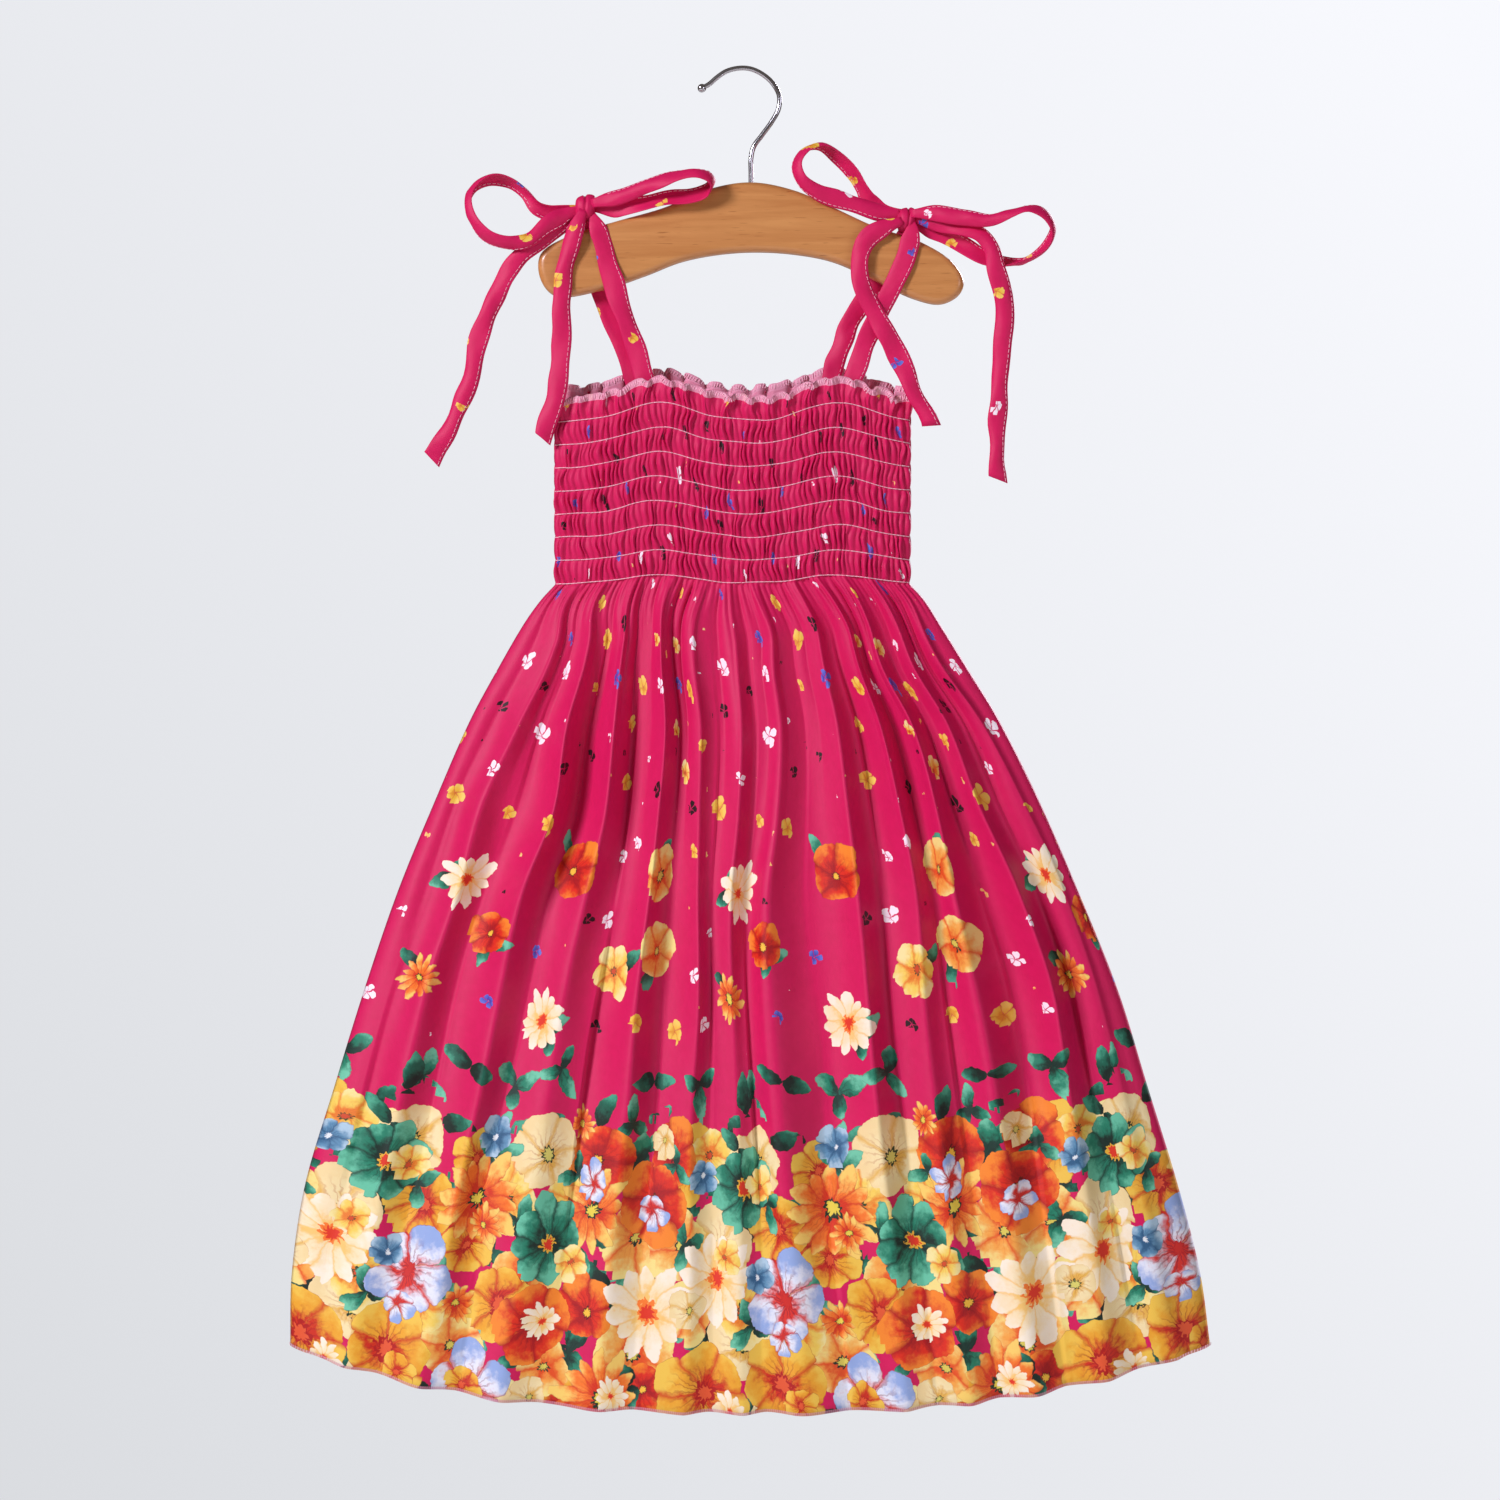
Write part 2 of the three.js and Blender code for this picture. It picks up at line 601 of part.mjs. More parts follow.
function makeHook() {
  const stemX = hookRoute[hookRoute.length - 1][0];
  const route = [...hookRoute, [stemX, hangerTop[5][1] - hook.seat]];
  const line = new THREE.CatmullRomCurve3(
    route.map(([x, z]) => new THREE.Vector3(x, 0, z)),
    false,
    "centripetal",
  );
  const section = new THREE.Shape();
  section.absarc(0, 0, hook.wire / 2, 0, 2 * Math.PI);
  const wire = new THREE.ExtrudeGeometry(section, {
    extrudePath: line,
    steps: hook.steps,
    curveSegments: hook.sides / 2,
    bevelEnabled: false,
  });
  const ball = new THREE.SphereGeometry(hook.ball / 2, 10, 8);
  ball.translate(hookRoute[0][0], 0, hookRoute[0][1]);
  return fromManifold(toManifold(wire).add(toManifold(ball)));
}

// Materials
const cotton = new THREE.MeshStandardMaterial({ color: 0xd81f5e, roughness: 0.85, metalness: 0 });
const tieCotton = new THREE.MeshStandardMaterial({ color: 0xdc2263, roughness: 0.8, metalness: 0 });
const wood = new THREE.MeshStandardMaterial({ color: 0xc88c50, roughness: 0.4, metalness: 0 });
const chrome = new THREE.MeshStandardMaterial({ color: 0xd9dbde, roughness: 0.15, metalness: 1 });

// The dress on its hanger
const sundress = new THREE.Group();

function addPiece(name, geometry, material) {
  const mesh = new THREE.Mesh(geometry, material);
  mesh.name = name;
  sundress.add(mesh);
}

for (const [name, panel] of Object.entries(panels)) {
  addPiece(name, makePanel(panel), cotton);
}

const tieNames = ["front_riser", "back_riser", "tail_inner", "tail_outer", "loop_inner", "loop_outer"];

for (const [side, bow] of Object.entries(ties)) {
  const { x, y, z } = bow.knot;
  const knot = makeKnot(knotSize[side], 0).translate(x, y, z);
  const clearance = toManifold(makeKnot(knotSize[side], seamGap).translate(x, y, z));
  addPiece(`${side}_bow_knot`, knot, tieCotton);
  for (const name of tieNames) {
    const across = bow.across[name];
    const strip = toManifold(makeTape(bow[name], across, across ? 2 : 1));
    addPiece(`${side}_${name}`, fromManifold(strip.subtract(clearance)), tieCotton);
  }
}

addPiece("hanger", makeHanger(), wood);
addPiece("hook", makeHook(), chrome);

export default sundress;
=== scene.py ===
# Toddler sundress with a shirred bodice and tie straps, hung on its wooden hanger.
# Metres in Blender, millimetres in the tables below. The front faces -Y.
import math
import random

import bmesh
import bpy
import numpy as np
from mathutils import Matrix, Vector


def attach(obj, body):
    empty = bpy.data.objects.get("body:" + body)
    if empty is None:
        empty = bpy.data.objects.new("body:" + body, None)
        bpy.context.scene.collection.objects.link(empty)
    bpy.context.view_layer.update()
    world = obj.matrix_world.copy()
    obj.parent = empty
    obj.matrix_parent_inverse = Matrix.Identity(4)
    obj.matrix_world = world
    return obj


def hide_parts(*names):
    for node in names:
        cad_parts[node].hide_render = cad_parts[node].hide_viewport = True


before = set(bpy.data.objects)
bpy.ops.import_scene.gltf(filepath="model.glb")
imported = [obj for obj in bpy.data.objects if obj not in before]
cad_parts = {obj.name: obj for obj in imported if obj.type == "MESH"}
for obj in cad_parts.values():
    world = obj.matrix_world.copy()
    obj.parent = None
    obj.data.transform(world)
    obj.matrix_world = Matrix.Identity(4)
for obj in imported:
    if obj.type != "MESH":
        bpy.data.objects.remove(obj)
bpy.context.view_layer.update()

mm = 0.001
scene = bpy.context.scene


def linear(code):
    parts = [int(code[i:i + 2], 16) / 255 for i in (1, 3, 5)]
    return tuple(p / 12.92 if p < 0.04045 else ((p + 0.055) / 1.055) ** 2.4 for p in parts) + (1.0,)


def addNode(tree, kind, inputs=None, **settings):
    node = tree.nodes.new(kind)
    for name, value in settings.items():
        setattr(node, name, value)
    for name, value in (inputs or {}).items():
        if isinstance(value, bpy.types.NodeSocket):
            tree.links.new(value, node.inputs[name])
        else:
            node.inputs[name].default_value = value
    return node


# Empty node group with its sockets, each given as a name and a type
def newGroup(name, kind, inputs, outputs):
    tree = bpy.data.node_groups.new(name, kind)
    for way, sockets in (("INPUT", inputs), ("OUTPUT", outputs)):
        for label, socket in sockets.items():
            tree.interface.new_socket(label, in_out=way, socket_type="NodeSocket" + socket)
    return tree


def smooth(t):
    t = np.clip(t, 0, 1)
    return t * t * (3 - 2 * t)


# Smooth repeatable unevenness, about -1 to 1
def unevenness(seed, u, v):
    draw = np.random.default_rng(seed)
    total = 0
    for _ in range(6):
        turn, pace, shift = draw.uniform(0, 6.28), draw.uniform(0.5, 1.5), draw.uniform(0, 6.28)
        total = total + np.sin(6.28 * pace * (np.cos(turn) * u + np.sin(turn) * v) + shift)
    return total / 3


# Value between the rows of a table, with no corner at a row
def tableValue(places, values, at):
    i = int(np.clip(np.searchsorted(places, at) - 1, 0, len(places) - 2))
    step = places[i + 1] - places[i]

    def slope(k):
        low, high = max(k - 1, 0), min(k + 1, len(places) - 1)
        return (values[high] - values[low]) / (places[high] - places[low])

    t = min(max((at - places[i]) / step, 0), 1)
    a, b = values[i], values[i + 1]
    ma, mb = slope(i) * step, slope(i + 1) * step
    total = (2 * t ** 3 - 3 * t ** 2 + 1) * a + (t ** 3 - 2 * t ** 2 + t) * ma
    return total + (3 * t ** 2 - 2 * t ** 3) * b + (t ** 3 - t ** 2) * mb


# Camera, at the photograph's straight-on angle

cameraPlace = {"x": 4.2, "z": -409.6, "distance": 2512, "lens": 100}

cameraData = bpy.data.cameras.new("camera")
cameraData.lens = cameraPlace["lens"]
camera = bpy.data.objects.new("camera", cameraData)
camera.location = (cameraPlace["x"] * mm, -cameraPlace["distance"] * mm, cameraPlace["z"] * mm)
camera.rotation_euler = (math.radians(90), 0, 0)
scene.collection.objects.link(camera)
scene.camera = camera


# Sizes of the dress. The gathers are pinched at the stitch rows and puff out between them.

bodice = {
    "left": -112.8, "right": 100.2, "depth": 9, "waist": -309.4, "rowPitch": 13.97, "rows": 8,
    "gathers": 66, "uneven": (0.3, 1.4), "pinch": 0.55, "puff": 2.7, "swell": 1.2, "sway": (0.42, 0.16),
}
frill = {"height": 14.5, "waves": 17, "throw": 4.6, "tip": 2.2, "lean": 1.1, "ragged": 1.1, "overlock": 4.1}
skirt = {
    "length": 459, "clothLength": 490, "clothWidth": 600, "overlock": 1.7, "hemDip": 35.5, "scallop": 1.0,
    "depthPower": 0.62, "foldStart": 35, "foldTaper": 0.14, "foldLean": 0.57, "pleat": 2.7, "pleatEnd": 170,
}
lastRow = bodice["rows"] - 1
topOfCloth = skirt["clothLength"] + lastRow * bodice["rowPitch"] + frill["height"]


# The flower print. Its layout is scattered afresh and repeats across the cloth.

# Repeat in millimetres, the most flowers that a face can show, and how the flowers are kept apart
printRepeat = {"width": 262, "slots": 6, "seed": 41, "borderTop": 190, "clearance": 1.1, "tries": 24,
               "fewestTries": 4, "edgeWander": 2.5}
tapePrint = {"width": 190, "slots": 2}

# Each flower: petals, petal width, how far out the petal is widest, colours of its base, middle, tip,
# drawn line, eye and the eye's ring, strength of the drawn line, size of the eye, unevenness
flowers = {
    "creamDaisy": (11, 0.19, 1.4, "#efc36c #f0dfb4 #f3ead2 #dcb981 #d8331c #ee7a2c", 0.3, 0.2, 0.12),
    "sunDaisy": (12, 0.16, 1.2, "#cf3212 #ea7424 #efcb66 #9c1c1a #dfcc48 #1a3020", 0.6, 0.17, 0.14),
    "goldBloom": (5, 0.52, 1.5, "#dc4f1c #eaa044 #ecda84 #c8461e #d3c555 #1a3022", 0.35, 0.16, 0.12),
    "redBloom": (5, 0.5, 1.45, "#a30d12 #d42a14 #ec8628 #7c0c12 #ecbc3c #5c1010", 0.7, 0.15, 0.12),
    "inkedGold": (6, 0.42, 1.6, "#c42a14 #e2a02a #e8c04a #961616 #d8552c #a81612", 1.0, 0.2, 0.1),
    "tealRuffle": (8, 0.33, 1.4, "#0f2a20 #1f7a5e #62bd9a #0e2018 #d2331a #dca932", 1.0, 0.18, 0.1),
    "inkedWhite": (5, 0.38, 1.7, "#cf2c20 #dfe5ee #8fa9d8 #7c162c #c4241a #b81a16", 1.0, 0.12, 0.12),
    "creamBloom": (5, 0.5, 1.6, "#dcae4c #ecdca6 #e9d398 #b4602c #d2cc66 #17341f", 0.75, 0.18, 0.12),
    "yellowBloom": (6, 0.4, 1.5, "#e07a24 #ebcb58 #eee19a #b4502a #c8461e #28421e", 0.4, 0.15, 0.14),
    "leafPair": (2, 0.26, 0.85, "#0e261c #17604a #46a684 #0a1c16 #0e261c #0e261c", 0.7, 0.0, 0.1),
    "leafSpray": (3, 0.24, 0.9, "#12352a #1f7f61 #6cc4a0 #0c241c #0e261c #0e261c", 0.7, 0.0, 0.16),
    "blueBlossom": (5, 0.42, 1.7, "#2f5c80 #5b8cac #a9c8d8 #24506c #dbe4e4 #48769a", 0.8, 0.16, 0.12),
    "whiteSprig": (5, 0.34, 2.1, "#f0dce6 #f4eaf0 #f4eaf0 #eec4d6 #e27aa4 #e27aa4", 0.1, 0.08, 0.24),
    "yellowSprig": (5, 0.42, 1.9, "#d89428 #e8bd42 #ebcb5e #d08c24 #cc7a22 #cc7a22", 0.1, 0.1, 0.18),
    "blueSprig": (5, 0.34, 1.9, "#42399c #5059ba #6272cc #382f94 #8791dc #8791dc", 0.1, 0.08, 0.22),
    "blackSprig": (5, 0.4, 2.3, "#22080e #22080e #22080e #22080e #a8124a #a8124a", 0.0, 0.14, 0.2),
    "fleck": (2, 0.42, 1.0, "#e69a44 #edbc66 #eecb88 #e69a44 #edbc66 #edbc66", 0.0, 0.3, 0.2),
}
flowerNames = list(flowers)

# Bands of the print, up from the hem: from, to, how many in one repeat, radius range, room between
# centres as a share of the radii, whether leaves stand behind, and what grows there. Later bands are
# printed over earlier ones.
printBands = [
    (150, 208, 12, (16, 23), 0.7, False, ["leafPair", "leafSpray"]),
    (4, 185, 50, (18, 27), 0.45, False, ["leafPair", "leafSpray", "leafPair"]),
    (0, 150, 32, (24, 32), 0.4, False, ["leafSpray", "leafPair", "leafSpray"]),
    (0, 172, 13, (24, 30), 0.9, False, ["goldBloom", "yellowBloom", "creamBloom", "redBloom", "inkedGold"]),
    (0, 164, 20, (20, 27), 0.8, False, ["goldBloom", "creamBloom", "redBloom", "yellowBloom", "inkedGold"]),
    (2, 162, 15, (17, 23), 0.9, False, ["leafSpray", "leafPair"]),
    (6, 160, 13, (26, 35), 0.8, False, ["sunDaisy", "creamDaisy", "inkedGold", "tealRuffle", "redBloom",
                                         "inkedWhite", "sunDaisy"]),
    (6, 184, 20, (10, 15), 0.7, False, ["creamBloom", "blueBlossom", "sunDaisy", "yellowBloom",
                                        "inkedWhite", "creamDaisy", "inkedGold"]),
    (200, 330, 8, (16, 24), 1.4, True, ["goldBloom", "creamDaisy", "redBloom", "yellowBloom", "sunDaisy"]),
    (215, 460, 18, (6.4, 9.4), 1.5, False, ["yellowSprig", "whiteSprig", "yellowSprig", "yellowBloom"]),
    (225, 640, 62, (5, 7), 1.6, False, ["whiteSprig", "blueSprig", "blackSprig", "blackSprig",
                                        "yellowSprig"]),
    (215, 640, 80, (2, 3.6), 2.0, False, ["fleck", "blackSprig", "fleck", "whiteSprig"]),
]
strapBands = [(-9, 9, 4, (4.5, 5.8), 3.0, False, ["yellowSprig", "blueSprig", "whiteSprig", "yellowSprig",
                                                "blackSprig"])]


def scatterFlowers(bands, width, seed):
    draw = random.Random(seed)
    placed = []
    for low, high, count, (small, large), room, leafy, kinds in bands:
        band = []
        # Sprigs keep clear of the larger flowers too
        rivals = []
        if low > printRepeat["borderTop"]:
            rivals = [(other, printRepeat["clearance"]) for other in placed]
        for number in range(count):
            radius = draw.uniform(small, large)
            best, bestGap = None, -1e9
            for attempt in range(printRepeat["tries"]):
                u, v = draw.uniform(0, width), draw.uniform(low, high)
                gap = 1e6
                for other, share in rivals:
                    du = abs(other[0] - u)
                    du = min(du, width - du)
                    gap = min(gap, math.hypot(du, other[1] - v) - share * (radius + other[2]))
                if gap > bestGap:
                    best, bestGap = (u, v), gap
                if gap > 0 and attempt >= printRepeat["fewestTries"]:
                    break
            kind = flowerNames.index(kinds[number % len(kinds)])
            turn = draw.uniform(0, 6.28)
            band.append((*best, radius, turn, kind, draw.uniform(0, 50)))
            rivals.append((band[-1], room))
            if leafy:
                at = (best[0] + 0.5 * radius * math.cos(turn), best[1] + 0.5 * radius * math.sin(turn))
                leaf = flowerNames.index(draw.choice(["leafPair", "leafSpray"]))
                placed.append((*at, 0.95 * radius, draw.uniform(0, 6.28), leaf, draw.uniform(0, 50)))
        placed += band
    return placed


# Gives each face the few flowers that reach it, in the order they are printed
def printOn(mesh, uv, motifs, layout):
    repeat, slots = layout["width"], layout["slots"]
    count = len(mesh.polygons)
    loops = np.empty(len(mesh.loops), np.int32)
    starts = np.empty(count, np.int32)
    sizes = np.empty(count, np.int32)
    mesh.loops.foreach_get("vertex_index", loops)
    mesh.polygons.foreach_get("loop_start", starts)
    mesh.polygons.foreach_get("loop_total", sizes)
    layer = mesh.uv_layers.new(name="cloth")
    layer.data.foreach_set("uv", uv[loops].astype(np.float32).ravel())
    centre = np.add.reduceat(uv[loops], starts) / sizes[:, None]
    reach = np.zeros(count)
    owner = np.repeat(np.arange(count), sizes)
    np.maximum.at(reach, owner, np.linalg.norm(uv[loops] - centre[owner], axis=1))
    place = np.zeros((slots, count, 3))
    place[:, :, 0] = -9999
    kind = np.zeros((slots, count, 3))
    low, high = uv[:, 0].min(), uv[:, 0].max()
    for u, v, radius, turn, number, seed in motifs:
        first = math.floor((low - u - radius) / repeat)
        last = math.ceil((high - u + radius) / repeat)
        for k in range(first, last + 1):
            at = np.array([u + k * repeat, v])
            near = np.linalg.norm(centre - at, axis=1) < radius + reach + printRepeat["edgeWander"]
            place[:-1, near] = place[1:, near]
            kind[:-1, near] = kind[1:, near]
            place[-1, near] = (at[0], at[1], radius)
            kind[-1, near] = (turn, number, seed)
    for slot in range(slots):
        for name, values in (("flowerPlace", place), ("flowerKind", kind)):
            attribute = mesh.attributes.new(f"{name}{slot}", "FLOAT_VECTOR", "FACE")
            attribute.data.foreach_set("vector", values[slot].astype(np.float32).ravel())


# One printed flower over what lies below it, drawn from its place, kind and the cloth's own place
def makeFlowerTree():
    sockets = {"Cloth": "Vector", "Place": "Vector", "Kind": "Vector", "Mottle": "Float", "Below": "Color"}
    tree = newGroup("printedFlower", "ShaderNodeTree", sockets, {"Colour": "Color"})
    given = addNode(tree, "NodeGroupInput").outputs
    value = {"mottle": given["Mottle"], "below": given["Below"]}
    for source, names in (("Cloth", "uv"), ("Place", "abr"), ("Kind", "tks")):
        split = addNode(tree, "ShaderNodeSeparateXYZ", {0: given[source]})
        value.update(zip(names, split.outputs))
    half = addNode(tree, "ShaderNodeMath", {0: value["k"], 1: 0.5}, operation="ADD").outputs[0]
    lookUp = addNode(tree, "ShaderNodeMath", {0: half, 1: len(flowers)}, operation="DIVIDE").outputs[0]
    ramps = {}
    for i, name in enumerate(("base", "middle", "tip", "ink", "eye", "ring")):
        ramps[name + "Colour"] = [linear(f[3].split()[i]) for f in flowers.values()]
    ramps["shape"] = [(f[0] / 20, f[1], f[2] / 3, 1) for f in flowers.values()]
    ramps["marks"] = [(f[5], f[4], f[6], 1) for f in flowers.values()]
    for name, colours in ramps.items():
        node = addNode(tree, "ShaderNodeValToRGB", {0: lookUp})
        node.color_ramp.interpolation = "CONSTANT"
        stops = node.color_ramp.elements
        for i, colour in enumerate(colours):
            stop = stops[0] if i == 0 else stops[1] if i == 1 else stops.new(i / len(colours))
            stop.position = i / len(colours)
            stop.color = colour
        value[name] = node.outputs[0]
    for source, names in (("shape", ("petals20", "wide", "power3")),
                          ("marks", ("eyeSize", "ink", "uneven"))):
        split = addNode(tree, "ShaderNodeSeparateColor", {0: value[source]})
        value.update(zip(names, split.outputs))
    # Polar place in the flower, then the place along and across the nearest petal
    steps = [
        ("petals", "MULTIPLY", "petals20", 20), ("power", "MULTIPLY", "power3", 3),
        ("size", "MAXIMUM", "r", 0.01),
        ("dx", "SUBTRACT", "u", "a"), ("dy", "SUBTRACT", "v", "b"),
        ("px", "DIVIDE", "dx", "size"), ("py", "DIVIDE", "dy", "size"),
        ("xx", "MULTIPLY", "px", "px"), ("yy", "MULTIPLY_ADD", "py", "py", "xx"), ("rho", "SQRT", "yy"),
        ("angle", "ARCTAN2", "py", "px"), ("angle", "ADD", "angle", "t"),
        ("angle", "DIVIDE", "angle", 2 * math.pi), ("sector", "MULTIPLY", "angle", "petals"),
        ("whole", "FLOOR", "sector"), ("part", "SUBTRACT", "sector", "whole"),
        ("part", "SUBTRACT", "part", 0.5),
        ("which", "FLOORED_MODULO", "whole", "petals"),
        ("delta", "MULTIPLY", "part", 2 * math.pi), ("delta", "DIVIDE", "delta", "petals"),
        ("cos", "COSINE", "delta"), ("sin", "SINE", "delta"),
        ("chance", "MULTIPLY_ADD", "which", 1.7, "s"), ("chance", "SINE", "chance"),
        ("longest", "SUBTRACT", 1, "uneven"), ("length", "MULTIPLY_ADD", "chance", "uneven", "longest"),
        ("x", "MULTIPLY", "rho", "cos"), ("x", "DIVIDE", "x", "length"), ("y", "MULTIPLY", "rho", "sin"),
        ("inner", "MINIMUM", "x", 1), ("inner", "MAXIMUM", "inner", 0),
        ("inner", "POWER", "inner", "power"),
        ("inner", "MULTIPLY", "inner", math.pi), ("inner", "SINE", "inner"),
        ("inner", "MAXIMUM", "inner", 0),
        ("inner", "POWER", "inner", 0.6), ("half", "MULTIPLY", "inner", "wide"), ("side", "ABSOLUTE", "y"),
        ("edge", "SUBTRACT", "half", "side"), ("edge", "MULTIPLY", "edge", "size"),
        ("petal", "DIVIDE", "edge", 0.3),
        ("lean", "DIVIDE", "y", "half"), ("lean", "MAXIMUM", "lean", -1), ("lean", "MINIMUM", "lean", 1),
        ("blot", "SUBTRACT", "mottle", 0.5), ("tone", "MULTIPLY_ADD", "blot", 0.9, "x"),
        ("tone", "MULTIPLY_ADD", "chance", 0.2, "tone"), ("tone", "MULTIPLY_ADD", "lean", 0.16, "tone"),
        ("seam", "ABSOLUTE", "part"), ("seam", "SUBTRACT", "seam", 0.38), ("seam", "MULTIPLY", "seam", 7),
        ("seam", "MAXIMUM", "seam", 0),
        ("vein", "MULTIPLY", "part", 24), ("vein", "MULTIPLY_ADD", "mottle", 9, "vein"),
        ("vein", "SINE", "vein"),
        ("vein", "SUBTRACT", "vein", 0.45), ("vein", "MULTIPLY", "vein", 1.8),
        ("vein", "MAXIMUM", "vein", 0),
        ("near", "MULTIPLY_ADD", "x", -1.5, 1.05), ("near", "MAXIMUM", "near", 0),
        ("vein", "MULTIPLY", "vein", "near"), ("vein", "MULTIPLY", "vein", "ink"),
        ("line", "DIVIDE", "edge", 0.75), ("line", "SUBTRACT", 1, "line"), ("line", "MAXIMUM", "line", 0),
        ("line", "MULTIPLY", "line", "ink"), ("line", "MAXIMUM", "line", "vein"),
        ("rag", "MULTIPLY_ADD", "blot", 1.5, 1), ("spoke", "MULTIPLY", "angle", 18 * math.pi),
        ("spoke", "MULTIPLY_ADD", "mottle", 14, "spoke"), ("spoke", "SINE", "spoke"),
        ("rag", "MULTIPLY_ADD", "spoke", 0.2, "rag"), ("eyeEdge", "MULTIPLY", "eyeSize", "rag"),
        ("eye", "SUBTRACT", "eyeEdge", "rho"), ("eye", "MULTIPLY", "eye", "size"),
        ("eye", "DIVIDE", "eye", 0.4),
        ("ring", "MULTIPLY", "eyeEdge", 0.6), ("ring", "SUBTRACT", "rho", "ring"),
        ("ring", "MULTIPLY", "ring", "size"), ("ring", "DIVIDE", "ring", 0.5),
    ]
    for name, operation, *terms in steps:
        inputs = {i: value.get(term, term) for i, term in enumerate(terms)}
        value[name] = addNode(tree, "ShaderNodeMath", inputs, operation=operation).outputs[0]
    for name, low, high in (("toMiddle", 0.12, 0.52), ("toTip", 0.5, 0.98)):
        inputs = {0: value["tone"], 1: low, 2: high}
        value[name] = addNode(tree, "ShaderNodeMapRange", inputs,
                              interpolation_type="SMOOTHSTEP").outputs[0]
    mixes = [
        ("petalColour", "toMiddle", "baseColour", "middleColour"),
        ("petalColour", "toTip", "petalColour", "tipColour"),
        ("petalColour", "seam", "petalColour", "baseColour"),
        ("petalColour", "line", "petalColour", "inkColour"),
        ("eyeColour", "ring", "eyeColour", "ringColour"),
        ("result", "petal", "below", "petalColour"),
        ("result", "eye", "result", "eyeColour"),
    ]
    for name, factor, below, above in mixes:
        inputs = {0: value[factor], 6: value[below], 7: value[above]}
        value[name] = addNode(tree, "ShaderNodeMix", inputs, data_type="RGBA").outputs[2]
    addNode(tree, "NodeGroupOutput", {0: value["result"]})
    return tree


def newMaterial(name):
    material = bpy.data.materials.new(name)
    material.use_nodes = True
    tree = material.node_tree
    tree.nodes.clear()
    return material, tree


def finishMaterial(tree, inputs):
    shader = addNode(tree, "ShaderNodeBsdfPrincipled", inputs)
    addNode(tree, "ShaderNodeOutputMaterial", {0: shader.outputs[0]})


# Printed cotton lawn, dyed magenta: a matt cloth with a faint sheen on the folds, the print pale and
# clouded on its wrong side. The weave is drawn three times too coarse, or it wouldn't show.
cottonLook = {
    "ground": "#d3115b", "groundDeep": "#c50d4f", "wrongSide": "#dc93ab", "wrongShare": 0.8,
    "overlock": "#f3bccd", "overlockDeep": "#d98aa6", "overlockPitch": 1.3,
    "weave": 1.1, "mottleScale": 0.16, "wander": 3.0, "roughness": 0.55,
}


